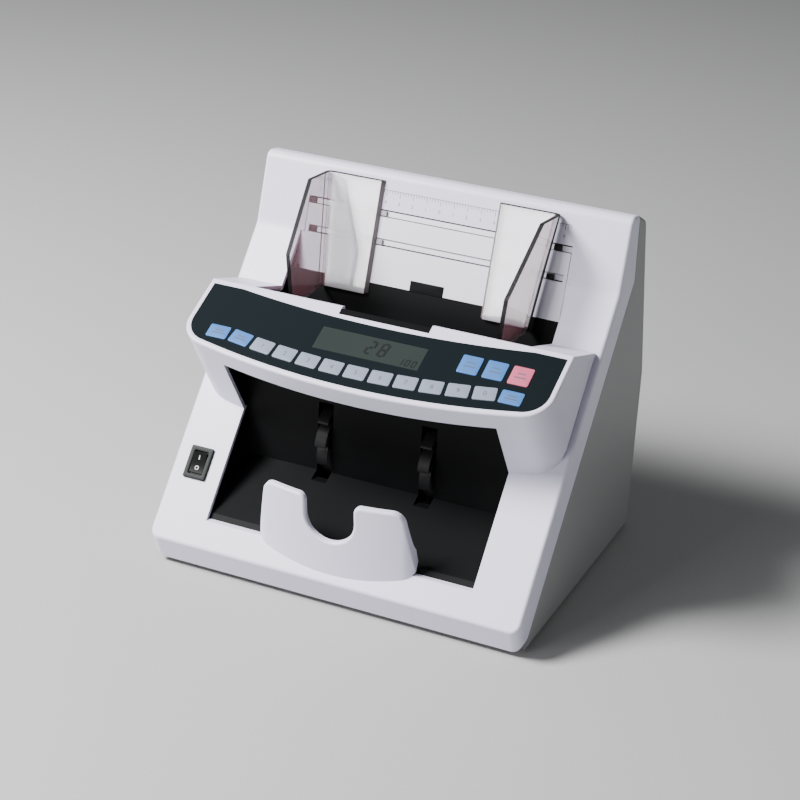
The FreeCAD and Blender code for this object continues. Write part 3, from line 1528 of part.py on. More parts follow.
def check():
    """Stop on a failed object or a bad sub-part."""
    for thing in doc.Objects:
        if "Invalid" in thing.State or "Error" in thing.State:
            raise ValueError(thing.Label + " failed")
    for thing in nodes:
        if thing.Shape.isNull() or not thing.Shape.isValid():
            raise ValueError(thing.Label + " has no valid shape")


def export():
    """Write each sub-part to its own file."""
    os.makedirs("parts", exist_ok=True)
    for thing in nodes:
        thing.Shape.exportStep("parts/%s.step" % thing.Label)
    print("%d sub-parts" % len(nodes))


build()
check()
export()
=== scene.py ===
"""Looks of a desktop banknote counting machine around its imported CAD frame.

Every place is in metres in the CAD frame: +Z up, -Y towards the user, and
the origin on the table in the middle of the footprint.
"""

import logging
import math
from collections.abc import Sequence
from dataclasses import dataclass, field
from enum import Enum, IntEnum
from functools import cache

import bpy
import numpy as np
from mathutils import Matrix, Vector


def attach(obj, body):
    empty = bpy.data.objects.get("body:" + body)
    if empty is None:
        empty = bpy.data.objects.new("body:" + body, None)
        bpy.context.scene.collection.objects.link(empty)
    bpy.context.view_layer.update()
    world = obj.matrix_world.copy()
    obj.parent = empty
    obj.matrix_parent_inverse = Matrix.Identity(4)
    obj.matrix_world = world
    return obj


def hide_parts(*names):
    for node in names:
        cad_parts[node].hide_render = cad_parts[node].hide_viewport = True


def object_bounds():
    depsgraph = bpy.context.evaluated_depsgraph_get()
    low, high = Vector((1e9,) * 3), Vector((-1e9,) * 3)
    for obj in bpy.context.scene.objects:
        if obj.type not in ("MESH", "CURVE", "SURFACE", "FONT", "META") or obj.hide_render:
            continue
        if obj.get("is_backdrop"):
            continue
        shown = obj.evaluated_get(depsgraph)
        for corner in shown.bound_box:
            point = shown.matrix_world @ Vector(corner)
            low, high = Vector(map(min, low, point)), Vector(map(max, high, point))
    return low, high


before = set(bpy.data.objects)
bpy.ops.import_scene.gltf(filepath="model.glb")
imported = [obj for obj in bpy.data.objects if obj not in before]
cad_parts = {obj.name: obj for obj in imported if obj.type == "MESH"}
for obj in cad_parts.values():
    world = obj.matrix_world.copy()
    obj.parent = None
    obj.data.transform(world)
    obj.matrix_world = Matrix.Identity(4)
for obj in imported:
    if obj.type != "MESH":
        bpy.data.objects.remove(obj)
CAD_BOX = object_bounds()

log = logging.getLogger("banknote_counter")

Array = np.ndarray
Colour = tuple[float, float, float]
Span = tuple[float, float]
Pair = tuple[float, float]
HOUSING = "housing"
UPPER_LEAN = 16.1
FACE_LEAN = 39.1
PRINT_LIFT = 0.00006
PRINTED = 1
GRAIN_DEPTH = 0.0002
LEAST_CORNER = 0.2


class Wire:
    """A value socket that takes part in Python arithmetic."""

    def __init__(self, shader: "Shader", socket: bpy.types.NodeSocket) -> None:
        """Keep the shader and the socket that the value comes from."""
        self.shader = shader
        self.socket = socket

    def _math(self, operation: str, other: "Wire | float") -> "Wire":
        """Result of one Math node on this value and another."""
        return self.shader.node("ShaderNodeMath", {"operation": operation}, {0: self, 1: other})

    def __add__(self, other: "Wire | float") -> "Wire":
        """Sum of two values."""
        return self._math("ADD", other)

    def __mul__(self, other: "Wire | float") -> "Wire":
        """Product of two values."""
        return self._math("MULTIPLY", other)

    def around(self, middle: float, width: float) -> "Wire":
        """The value's nought to one, spread evenly round a middle."""
        return self * width + (middle - width / 2)

    def above(self, limit: float) -> "Wire":
        """One where the value is over a limit, and nought elsewhere."""
        return self._math("GREATER_THAN", limit)


class Shader:
    """One material and the nodes that make it."""

    def __init__(self, name: str) -> None:
        """Start an empty material.

        Args:
            name: The material's name.
        """
        self.material = bpy.data.materials.new(name)
        self.material.use_nodes = True
        self.tree = self.material.node_tree
        self.tree.nodes.clear()

    def add(self, kind: str, settings: dict, inputs: dict) -> bpy.types.Node:
        """Add a node, set its own properties, then fill or link its sockets.

        Args:
            kind: The node's type.
            settings: Its own properties.
            inputs: A number, colour or Wire for each socket, by name or place.

        Returns:
            The node.
        """
        made = self.tree.nodes.new(kind)
        for key, setting in settings.items():
            setattr(made, key, setting)
        for key, given in inputs.items():
            if isinstance(given, Wire):
                self.tree.links.new(given.socket, made.inputs[key])
            else:
                made.inputs[key].default_value = given
        return made

    def node(self, kind: str, settings: dict, inputs: dict, output: int | str = 0) -> Wire:
        """Add a node and take one of its outputs."""
        return Wire(self, self.add(kind, settings, inputs).outputs[output])

    def place(self) -> Wire:
        """Object coordinates in metres."""
        return self.node("ShaderNodeTexCoord", {}, {}, "Object")

    def noise(self, scale: float, detail: float) -> Wire:
        """Smooth noise of so many cells a metre."""
        inputs = {"Vector": self.place(), "Scale": scale, "Detail": detail}
        return self.node("ShaderNodeTexNoise", {}, inputs)

    def blend(self, factor: Wire, low: Colour, high: Colour) -> Wire:
        """Mix two colours by a value: nought gives the first, one the second."""
        return self.node("ShaderNodeMix", {"data_type": "RGBA"},
                         {"Factor": factor, 6: (*low, 1.0), 7: (*high, 1.0)}, 2)

    def bump(self, height: Wire, strength: float, distance: float) -> Wire:
        """Relief from a height value."""
        inputs = {"Height": height, "Strength": strength, "Distance": distance}
        return self.node("ShaderNodeBump", {}, inputs)

    def finish(self, inputs: dict) -> bpy.types.Material:
        """Close the material with one Principled surface.

        Args:
            inputs: Values and Wires for its sockets.

        Returns:
            The finished material.
        """
        surface = self.node("ShaderNodeBsdfPrincipled", {}, inputs)
        self.add("ShaderNodeOutputMaterial", {}, {"Surface": surface})
        return self.material


def shade(colour: Colour, factor: float) -> Colour:
    """The same colour, darker or lighter."""
    return tuple(min(1.0, part * factor) for part in colour)


@dataclass(frozen=True)
class MouldedPlastic:
    """Plastic with the fine spark-eroded grain of a mould."""

    name: str
    colour: Colour
    roughness: float = 0.45
    mottle: float = 0.04
    grain: float = 1800.0
    relief: float = 0.12
    specular: float = 0.5

    def material(self) -> bpy.types.Material:
        """Grain bump, faint cloudy colour and uneven gloss.

        Returns:
            The material.
        """
        shader = Shader(self.name)
        cloud = shader.noise(scale=9.0, detail=3.0)
        fine = shader.noise(scale=self.grain, detail=2.0)
        low, high = shade(self.colour, 1 - self.mottle), shade(self.colour, 1 + self.mottle)
        return shader.finish({
            "Base Color": shader.blend(cloud, low, high),
            "Roughness": cloud * 0.10 + fine * 0.06 + (self.roughness - 0.08),
            "Normal": shader.bump(fine, self.relief, GRAIN_DEPTH),
            "Specular IOR Level": self.specular,
        })


@dataclass(frozen=True)
class ClearSheet:
    """Tinted clear plastic, seen through by its alpha."""

    name: str
    colour: Colour
    alpha: float
    roughness: float = 0.06
    index: float = 1.5
    specular: float = 0.6

    def material(self) -> bpy.types.Material:
        """Gloss with faint smears, and an uneven tint.

        Returns:
            The material.
        """
        shader = Shader(self.name)
        smear = shader.noise(scale=35.0, detail=4.0)
        return shader.finish({
            "Base Color": shader.blend(smear, shade(self.colour, 0.94), shade(self.colour, 1.06)),
            "Roughness": smear * 0.06 + self.roughness,
            "Alpha": smear.around(self.alpha, 0.05),
            "IOR": self.index,
            "Specular IOR Level": self.specular,
        })


@dataclass(frozen=True)
class PrintedInk:
    """Thin flat print."""

    name: str
    colour: Colour
    roughness: float = 0.5

    def material(self) -> bpy.types.Material:
        """Ink whose cover varies a little.

        Returns:
            The material.
        """
        shader = Shader(self.name)
        cover = shader.noise(scale=900.0, detail=2.0)
        return shader.finish({
            "Base Color": shader.blend(cover, shade(self.colour, 0.85), shade(self.colour, 1.15)),
            "Roughness": cover.around(self.roughness, 0.1),
            "Specular IOR Level": 0.2,
        })


@dataclass(frozen=True)
class Metal:
    """Bare metal with a drawn or turned grain."""

    name: str
    colour: Colour
    roughness: float = 0.32
    stretch: tuple[float, float, float] = (6.0, 900.0, 900.0)

    def material(self) -> bpy.types.Material:
        """Noise drawn out along X streaks the gloss and the colour.

        Returns:
            The material.
        """
        shader = Shader(self.name)
        drawn = shader.node("ShaderNodeMapping", {}, {"Vector": shader.place(), "Scale": self.stretch})
        streak = shader.node("ShaderNodeTexNoise", {}, {"Vector": drawn, "Scale": 1.0, "Detail": 3.0})
        return shader.finish({
            "Base Color": shader.blend(streak, shade(self.colour, 0.86), shade(self.colour, 1.1)),
            "Metallic": 1.0,
            "Roughness": streak.around(self.roughness, 0.18),
            "Normal": shader.bump(streak, 0.08, GRAIN_DEPTH),
        })


@dataclass(frozen=True)
class LiquidCrystal:
    """Reflective display under a clear window."""

    name: str
    colour: Colour

    def material(self) -> bpy.types.Material:
        """A faint cell raster over an uneven grey-green ground.

        Returns:
            The material.
        """
        shader = Shader(self.name)
        cloud = shader.noise(scale=25.0, detail=2.0)
        raster = shader.noise(scale=2400.0, detail=1.0)
        ground = cloud * 0.7 + raster * 0.3
        return shader.finish({
            "Base Color": shader.blend(ground, shade(self.colour, 0.86), shade(self.colour, 1.14)),
            "Roughness": raster * 0.06 + 0.16,
            "Coat Weight": 0.2,
            "Coat Roughness": 0.05,
        })


@dataclass(frozen=True)
class Laminate:
    """Circuit board with its copper tracks under green resist."""

    name: str
    colour: Colour

    def material(self) -> bpy.types.Material:
        """Cells of a lattice noise stand for the tracks.

        Returns:
            The material.
        """
        shader = Shader(self.name)
        lattice = {"feature": "DISTANCE_TO_EDGE", "distance": "CHEBYCHEV"}
        cells = shader.node("ShaderNodeTexVoronoi", lattice, {"Vector": shader.place(), "Scale": 260.0})
        tracks = cells.above(0.12)
        return shader.finish({
            "Base Color": shader.blend(tracks, shade(self.colour, 1.7), self.colour),
            "Roughness": tracks * 0.12 + 0.32,
        })


class Finish(Enum):
    """Every finish on the machine."""

    FRONT = MouldedPlastic("front_plastic", (0.665, 0.645, 0.775))
    REAR = MouldedPlastic("rear_plastic", (0.25, 0.256, 0.256), 0.5, 0.06)
    PLATE = MouldedPlastic("plate_plastic", (0.71, 0.70, 0.80), 0.36)
    RAIL = MouldedPlastic("rail_white", (0.71, 0.70, 0.79), 0.36)
    # Dark slider plastic, also used as painted shadow at the slots' left ends and beside the right wing.
    SLIDER = MouldedPlastic("slider_and_shadow_dark", (0.024, 0.019, 0.020), 0.45, specular=0.2)
    FOOT = MouldedPlastic("foot_plastic", (0.36, 0.33, 0.35), 0.45)
    # Near-black tray plastic; also laid as painted shade in the slot pits and the notch sheet.
    TRAY = MouldedPlastic("tray_plastic", (0.0036, 0.0038, 0.0042), 0.5, 0.1, specular=0.08)
    SWITCH = MouldedPlastic("switch_plastic", (0.0145, 0.0165, 0.0158), 0.45, 0.1, specular=0.10)
    ROCKER = MouldedPlastic("rocker_plastic", (0.0022, 0.0025, 0.0025), 0.4, 0.1, specular=0.06)
    FILM = MouldedPlastic("film_gloss", (0.0062, 0.0095, 0.0112), 0.3, 0.08, 2600.0, 0.04, 0.12)
    GREY_KEY = MouldedPlastic("grey_key_plastic", (0.205, 0.230, 0.295), 0.42, specular=0.25)
    BLUE_KEY = MouldedPlastic("blue_key_plastic", (0.055, 0.150, 0.375), 0.42, specular=0.25)
    PINK_KEY = MouldedPlastic("pink_key_plastic", (0.48, 0.105, 0.175), 0.42, specular=0.25)
    PULLEY = MouldedPlastic("pulley_white", (0.62, 0.61, 0.56), 0.4)
    VANE = MouldedPlastic("vane_plastic", (0.012, 0.012, 0.013), 0.45, 0.1, specular=0.12)
    RUBBER = MouldedPlastic("rubber_black", (0.014, 0.014, 0.014), 0.75, 0.15, 900.0, 0.3)
    ENAMEL = MouldedPlastic("motor_enamel", (0.05, 0.05, 0.055), 0.4, 0.08, 700.0, 0.1)
    SMOKED = ClearSheet("smoked_sheet", (0.38, 0.185, 0.215), 0.40)
    SMOKED_EDGE = ClearSheet("smoked_edge", (0.004, 0.0035, 0.004), 0.97, 0.5, specular=0.08)
    # The near-white colour on the clear flanges is painted reflection of a bright light; the high gloss
    # also reflects the lamps for real.
    FLANGE_PAINTED_REFLECTION = ClearSheet("flange_painted_reflection", (0.80, 0.78, 0.83), 0.38, 0.02, 1.72, 1.0)
    CUT_EDGE = ClearSheet("cut_edge", (0.13, 0.105, 0.11), 0.93, 0.4, specular=0.2)
    DISPLAY = LiquidCrystal("display_cell", (0.021, 0.028, 0.026))
    BOARD = Laminate("green_laminate", (0.012, 0.09, 0.03))
    SHEET_STEEL = Metal("rolled_steel", (0.55, 0.55, 0.56), 0.38)
    BRIGHT_STEEL = Metal("turned_steel", (0.66, 0.66, 0.67), 0.24)
    DARK_INK = PrintedInk("dark_ink", (0.0045, 0.0055, 0.0055))
    KEY_INK = PrintedInk("key_ink", (0.09, 0.105, 0.14))
    SCALE_INK = PrintedInk("scale_ink", (0.15, 0.135, 0.165))
    WHITE_INK = PrintedInk("white_ink", (0.60, 0.60, 0.60))

    @cache
    def material(self) -> bpy.types.Material:
        """The finish's material, made on first use."""
        return self.value.material()


@dataclass(frozen=True)
class Plane:
    """A flat frame turned about the X axis."""

    along: float
    height: float
    tilt: float

    def place(self, local: Array) -> Array:
        """Carry points from the plane's frame to the machine's.

        Args:
            local: Points as across, up the plane and out of it.

        Returns:
            The same points as X, Y and Z.
        """
        angle = math.radians(self.tilt)
        across, up, out = np.moveaxis(np.asarray(local, float), -1, 0)
        along = self.along + up * math.cos(angle) - out * math.sin(angle)
        height = self.height + up * math.sin(angle) + out * math.cos(angle)
        return np.stack([across, along, height], axis=-1)


UPPER_PLATE = Plane(0.03896, 0.2031, 90.0 - UPPER_LEAN)


def plate_rise(height: float) -> float:
    """Distance up the upper plate from its crease to a height: the rise over the lean's cosine."""
    return (height - UPPER_PLATE.height) / math.cos(math.radians(UPPER_LEAN))


@dataclass
class Surface:
    """Points and faces, with each face's finish number."""

    points: Array
    faces: list[list[int]]
    finishes: list[int] = field(default_factory=list)

    def __post_init__(self) -> None:
        """Give every face the first finish unless told otherwise."""
        if not self.finishes:
            self.finishes = [0] * len(self.faces)

    @staticmethod
    def quads(rows: int, columns: int, wrap: bool) -> Array:
        """Faces of a grid of points stored row by row.

        Args:
            rows: Rows of points.
            columns: Points in a row.
            wrap: Whether each row closes on itself.

        Returns:
            One row of four point numbers per face.
        """
        across = np.arange(columns if wrap else columns - 1)
        row, column = np.meshgrid(np.arange(rows - 1), across, indexing="ij")
        after = (column + 1) % columns
        corners = [row * columns + column, row * columns + after, (row + 1) * columns + after,
                   (row + 1) * columns + column]
        return np.stack(corners, axis=-1).reshape(-1, 4)

    @classmethod
    def loft(cls, rings: Array) -> "Surface":
        """Closed rings joined row by row, with both ends fanned from their middles.

        Args:
            rings: Points as rings, points in a ring and coordinates.

        Returns:
            The closed surface.
        """
        count, size = rings.shape[:2]
        total = count * size
        first, last = np.arange(size), np.arange(total - size, total)
        caps = [np.stack([np.roll(first, -1), first, np.full(size, total)], axis=-1),
                np.stack([last, np.roll(last, -1), np.full(size, total + 1)], axis=-1)]
        faces = cls.quads(count, size, True).tolist() + np.concatenate(caps).tolist()
        points = np.concatenate([rings.reshape(-1, 3), rings[[0, -1]].mean(axis=1)])
        return cls(points, faces).outward()

    @classmethod
    def shell(cls, inner: Array, outer: Array, columns: Sequence[Array], rim: Sequence[int]) -> "Surface":
        """A sheet between two grids, closed all round its rim.

        Args:
            inner: Grid of one side.
            outer: Grid of the other side, of the same shape.
            columns: Finish numbers of the inner and of the outer grid's columns of faces.
            rim: Finish numbers along the first row, the last column, the last row and the first column.

        Returns:
            The surface.
        """
        rows, size = inner.shape[:2]
        offset = rows * size
        face = cls.quads(rows, size, False)
        border = np.concatenate([
            np.arange(size), size * np.arange(1, rows) + size - 1,
            (rows - 1) * size + np.arange(size - 2, -1, -1), size * np.arange(rows - 2, 0, -1)])
        after = np.roll(border, -1)
        edge = np.stack([after, border, border + offset, after + offset], axis=-1)
        faces = face.tolist() + (face[:, ::-1] + offset).tolist() + edge.tolist()
        finish = np.tile(np.array(columns)[:, None], (1, rows - 1, 1)).reshape(-1).tolist()
        points = np.concatenate([inner.reshape(-1, 3), outer.reshape(-1, 3)])
        edging = np.repeat(rim, [size - 1, rows - 1, size - 1, rows - 1]).tolist()
        return cls(points, faces, finish + edging).outward()

    @classmethod
    def join(cls, surfaces: Sequence["Surface"]) -> "Surface":
        """Several surfaces as one.

        Args:
            surfaces: The surfaces.

        Returns:
            All their points and faces, in the same order.
        """
        points: list[Array] = []
        faces: list[list[int]] = []
        finishes: list[int] = []
        total = 0
        for surface in surfaces:
            points.append(surface.points)
            faces += [[number + total for number in face] for face in surface.faces]
            finishes += surface.finishes
            total += len(surface.points)
        return cls(np.concatenate(points), faces, finishes)

    def painted(self, finish: int) -> "Surface":
        """The same surface with one finish number all over."""
        return Surface(self.points, self.faces, [finish] * len(self.faces))

    def outward(self) -> "Surface":
        """Turn the faces over if they enclose a negative volume.

        Returns:
            This surface.
        """
        volume = 0.0
        for size in (3, 4):
            chosen = np.array([face for face in self.faces if len(face) == size])
            for step in range(1, size - 1):
                if len(chosen):
                    a, b, c = (self.points[chosen[:, index]] for index in (0, step, step + 1))
                    volume += np.einsum("ij,ij->", a, np.cross(b, c))
        if volume < 0:
            self.faces = [face[::-1] for face in self.faces]
        return self

    def on(self, plane: Plane) -> "Surface":
        """The same surface carried from a plane's frame."""
        return Surface(plane.place(self.points), self.faces, self.finishes)


def rounded_ring(half_width: Array, half_depth: Array, radius: Array, steps: int = 6) -> Array:
    """Rings of a rounded rectangle: four quarter circles joined by straight sides.

    Args:
        half_width: Half width of each ring.
        half_depth: Half depth of each ring.
        radius: Corner radius of each ring.
        steps: Points in each corner.

    Returns:
        Rings, points in a ring, across and up.
    """
    corner = np.repeat(np.arange(4), steps)
    angle = (corner + np.tile(np.linspace(0.0, 1.0, steps), 4)) * math.pi / 2
    side = np.array([1, -1, -1, 1])[corner]
    end = np.array([1, 1, -1, -1])[corner]
    wide, deep, bend = (np.asarray(part, float)[:, None] for part in (half_width, half_depth, radius))
    across = side * (wide - bend) + bend * np.cos(angle)
    up = end * (deep - bend) + bend * np.sin(angle)
    return np.stack([across, up], axis=-1)


def quarter_round(radius: float, steps: int = 5) -> tuple[Array, Array]:
    """Fall and run of a rounded edge: a radius less its sine and less its cosine over a quarter turn."""
    turn = np.linspace(0.0, math.pi / 2, steps)
    return radius * (1 - np.sin(turn)), radius * (1 - np.cos(turn))


def lifted(flat: Array, out: Array) -> Array:
    """Rings across and up, with each ring's own height as the third coordinate."""
    return np.concatenate([flat, np.broadcast_to(out[:, None, None], (*flat.shape[:2], 1))], axis=-1)


def block(centre: Pair, half: Pair, low: float, high: float, corner: float, edge: float) -> Surface:
    """A rounded block: a rounded rectangle drawn in by a quarter circle at both ends.

    Args:
        centre: Middle across and up the plane.
        half: Half width and half depth.
        low: Lower face out of the plane.
        high: Upper face out of the plane.
        corner: Corner radius in plan.
        edge: Radius of the upper and lower edges.

    Returns:
        The closed surface in the plane's frame.
    """
    fall, run = quarter_round(edge)
    inset, out = np.concatenate([fall, run]), np.concatenate([low + run, high - fall])
    radius = np.maximum(corner - inset, edge * LEAST_CORNER)
    flat = rounded_ring(half[0] - inset, half[1] - inset, radius)
    return Surface.loft(lifted(flat + np.array(centre), out))


def flat_bars(centres: Array, halves: Array, out: float) -> Surface:
    """Flat rectangles lying in a plane.

    Args:
        centres: Middle of each bar across and up.
        halves: Half width and half depth of each bar.
        out: Height of the bars over the plane.

    Returns:
        The surface in the plane's frame.
    """
    signs = np.array([(-1, -1), (1, -1), (1, 1), (-1, 1)])
    corners = np.asarray(centres)[:, None, :] + np.asarray(halves)[:, None, :] * signs
    points = lifted(corners, np.full(len(corners), out)).reshape(-1, 3)
    return Surface(points, np.arange(len(points)).reshape(-1, 4).tolist())


def lettered(text: str, size: float, centre: Pair, out: float) -> Surface:
    """Plain numerals as a flat mesh in a plane.

    Args:
        text: Numerals to set.
        size: Height of the type.
        centre: Middle of the word across and up.
        out: Height over the plane.

    Returns:
        The surface in the plane's frame.
    """
    curve = bpy.data.curves.new("numerals", "FONT")
    curve.body = text
    curve.size = size
    curve.resolution_u = 3
    holder = bpy.data.objects.new("numerals", curve)
    mesh = bpy.data.meshes.new_from_object(holder)
    points = np.zeros(len(mesh.vertices) * 3)
    mesh.vertices.foreach_get("co", points)
    points = points.reshape(-1, 3)
    faces = [list(face.vertices) for face in mesh.polygons]
    points[:, :2] += np.array(centre) - (points[:, :2].min(axis=0) + points[:, :2].max(axis=0)) / 2
    points[:, 2] = out
    bpy.data.objects.remove(holder)
    bpy.data.curves.remove(curve)
    bpy.data.meshes.remove(mesh)
    return Surface(points, faces)


def segments(text: str, tall: float, centre: Pair, out: float) -> Surface:
    """Seven-bar figures: each bar is a flat rectangle, and the whole leans to the right.

    Args:
        text: Numerals to set.
        tall: Height of the figures.
        centre: Middle of the word across and up.
        out: Height over the plane.

    Returns:
        The surface in the plane's frame.
    """
    stroke, wide, step, slant = 0.14 * tall, 0.50 * tall, 0.74 * tall, 0.14
    level_half = (wide / 2 - stroke, stroke / 2)
    upright_half = (stroke / 2, tall / 4 - stroke * 0.35)
    bars = {"a": (0, 1, 1), "b": (1, 0.5, 0), "c": (1, -0.5, 0), "d": (0, -1, 1), "e": (-1, -0.5, 0),
            "f": (-1, 0.5, 0), "g": (0, 0, 1)}
    lit = {"0": "abcdef", "1": "bc", "2": "abged", "8": "abcdefg"}
    places, halves = [], []
    for number, figure in enumerate(text):
        shift = (number - (len(text) - 1) / 2) * step
        for name in lit[figure]:
            across, up, level = bars[name]
            places.append((shift + across * (wide - stroke) / 2, up * (tall - stroke) / 2))
            halves.append(level_half if level else upright_half)
    surface = flat_bars(np.array(places), np.array(halves), out)
    surface.points[:, 0] += slant * surface.points[:, 1]
    surface.points[:, :2] += np.array(centre)
    return surface


def add_piece(name: str, surface: Surface, finishes: Sequence[Finish], body: str, slot: str,
              replaced: Sequence[str] = (), crisp: float = 40.0) -> bpy.types.Object:
    """Make one piece of the scene and tie it to its body.

    Args:
        name: The piece's name.
        surface: Its mesh in the machine's frame.
        finishes: Finishes in the order of the faces' finish numbers.
        body: CAD body that it moves with.
        slot: Material slot of the record; not used.
        replaced: CAD nodes that it stands for.
        crisp: Edges over this many degrees stay sharp.

    Returns:
        The piece.
    """
    mesh = bpy.data.meshes.new(name)
    mesh.from_pydata(surface.points.tolist(), [], surface.faces)
    for finish in finishes:
        mesh.materials.append(finish.material())
    mesh.polygons.foreach_set("material_index", np.array(surface.finishes, np.int32))
    mesh.polygons.foreach_set("use_smooth", np.ones(len(mesh.polygons), bool))
    mesh.set_sharp_from_angle(angle=math.radians(crisp))
    mesh.update()
    piece = bpy.data.objects.new(name, mesh)
    bpy.context.scene.collection.objects.link(piece)
    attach(piece, body)
    if replaced:
        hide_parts(*replaced)
    log.info("piece %s rides %s", name, body)
    return piece


def dress(finish: Finish, *names: str) -> None:
    """Give CAD nodes a finish.

    Args:
        finish: The finish.
        names: The nodes.
    """
    for name in names:
        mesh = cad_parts[name].data
        mesh.materials.clear()
        mesh.materials.append(finish.material())
        log.info("node %s takes %s", name, finish.name)


@dataclass
class Shell:
    """Front and rear covers, base, feet and the printed scale."""

    plate: Plane = UPPER_PLATE
    scale_top: float = 0.2400
    scale_steps: int = 47
    tick_group: int = 5
    tick_pitch: float = 0.002
    tick_width: float = 0.00034
    tick_long: float = 0.0040
    tick_short: float = 0.0020
    figure: float = 0.0034
    figure_drop: float = 0.0082
    foot_radius: float = 0.009
    foot_height: float = 0.004
    foot_radii: tuple[float, ...] = (0.86, 0.95, 1.0, 1.0, 0.97, 0.90, 0.84, 0.80)
    foot_rises: tuple[float, ...] = (1.0, 1.0, 0.95, 0.35, 0.15, 0.04, 0.0, 0.0)
    foot_points: int = 48
    feet: tuple[Pair, ...] = (
        (0.105, -0.080), (-0.105, -0.080), (0.105, 0.090), (-0.105, 0.090))

    def dress(self) -> None:
        """Finish the covers and the base."""
        dress(Finish.FRONT, "front_cover")
        dress(Finish.REAR, "rear_cover")
        dress(Finish.SHEET_STEEL, "base_plate")
        dress(Finish.BRIGHT_STEEL, "base_screws")

    def build(self) -> None:
        """Add the scale and the feet."""
        self._scale()
        self._feet()

    def _scale(self) -> None:
        """A base line with ticks at an even pitch, a longer one and a numeral at every fifth."""
        line_rise = plate_rise(self.scale_top)
        steps = np.arange(-self.scale_steps, self.scale_steps + 1)
        major = steps % self.tick_group == 0
        tall = np.where(major, self.tick_long, self.tick_short)
        across = steps * self.tick_pitch
        halves = np.stack([np.full_like(tall, self.tick_width / 2), tall / 2], axis=-1)
        ticks = flat_bars(np.stack([across, line_rise - tall / 2], axis=-1), halves, PRINT_LIFT)
        reach = self.scale_steps * self.tick_pitch
        line = flat_bars(np.array([[0.0, line_rise]]), np.array([[reach, self.tick_width / 2]]), PRINT_LIFT)
        figures = [lettered(str(abs(step) // self.tick_group), self.figure,
                            (step * self.tick_pitch, line_rise - self.figure_drop), PRINT_LIFT)
                   for step in steps[major].tolist()]
        marks = Surface.join([ticks, line, *figures])
        add_piece("scale_marks", marks.on(self.plate), [Finish.SCALE_INK], HOUSING, "front_shell")

    def _feet(self) -> None:
        """Each foot is a profile turned about its axis: a flared skirt with round edges."""
        radius = self.foot_radius * np.array(self.foot_radii)[:, None]
        height = self.foot_height * np.array(self.foot_rises)
        angle = np.linspace(0.0, 2 * math.pi, self.foot_points, endpoint=False)
        rings = lifted(np.stack([radius * np.cos(angle), radius * np.sin(angle)], axis=-1), height)
        feet = [Surface.loft(rings + np.array([across, along, 0.0])) for across, along in self.feet]
        add_piece("feet", Surface.join(feet), [Finish.RUBBER], HOUSING, "black_rubber", ["rubber_feet"])


class RailFace(IntEnum):
    """Finish numbers of a rail's faces."""

    FRONT = 0
    # Black pit behind the gaps round the rail: painted shade.
    SHADE_PIT = 1
    # Dark block at the slot's left end: painted shadow of the end wall.
    END_SHADOW = 2


class GuideFace(IntEnum):
    """Finish numbers of a guide's faces."""

    WING = 0
    FLANGE = 1
    DARK = 2
    CUT = 3
    SLIDER = 4


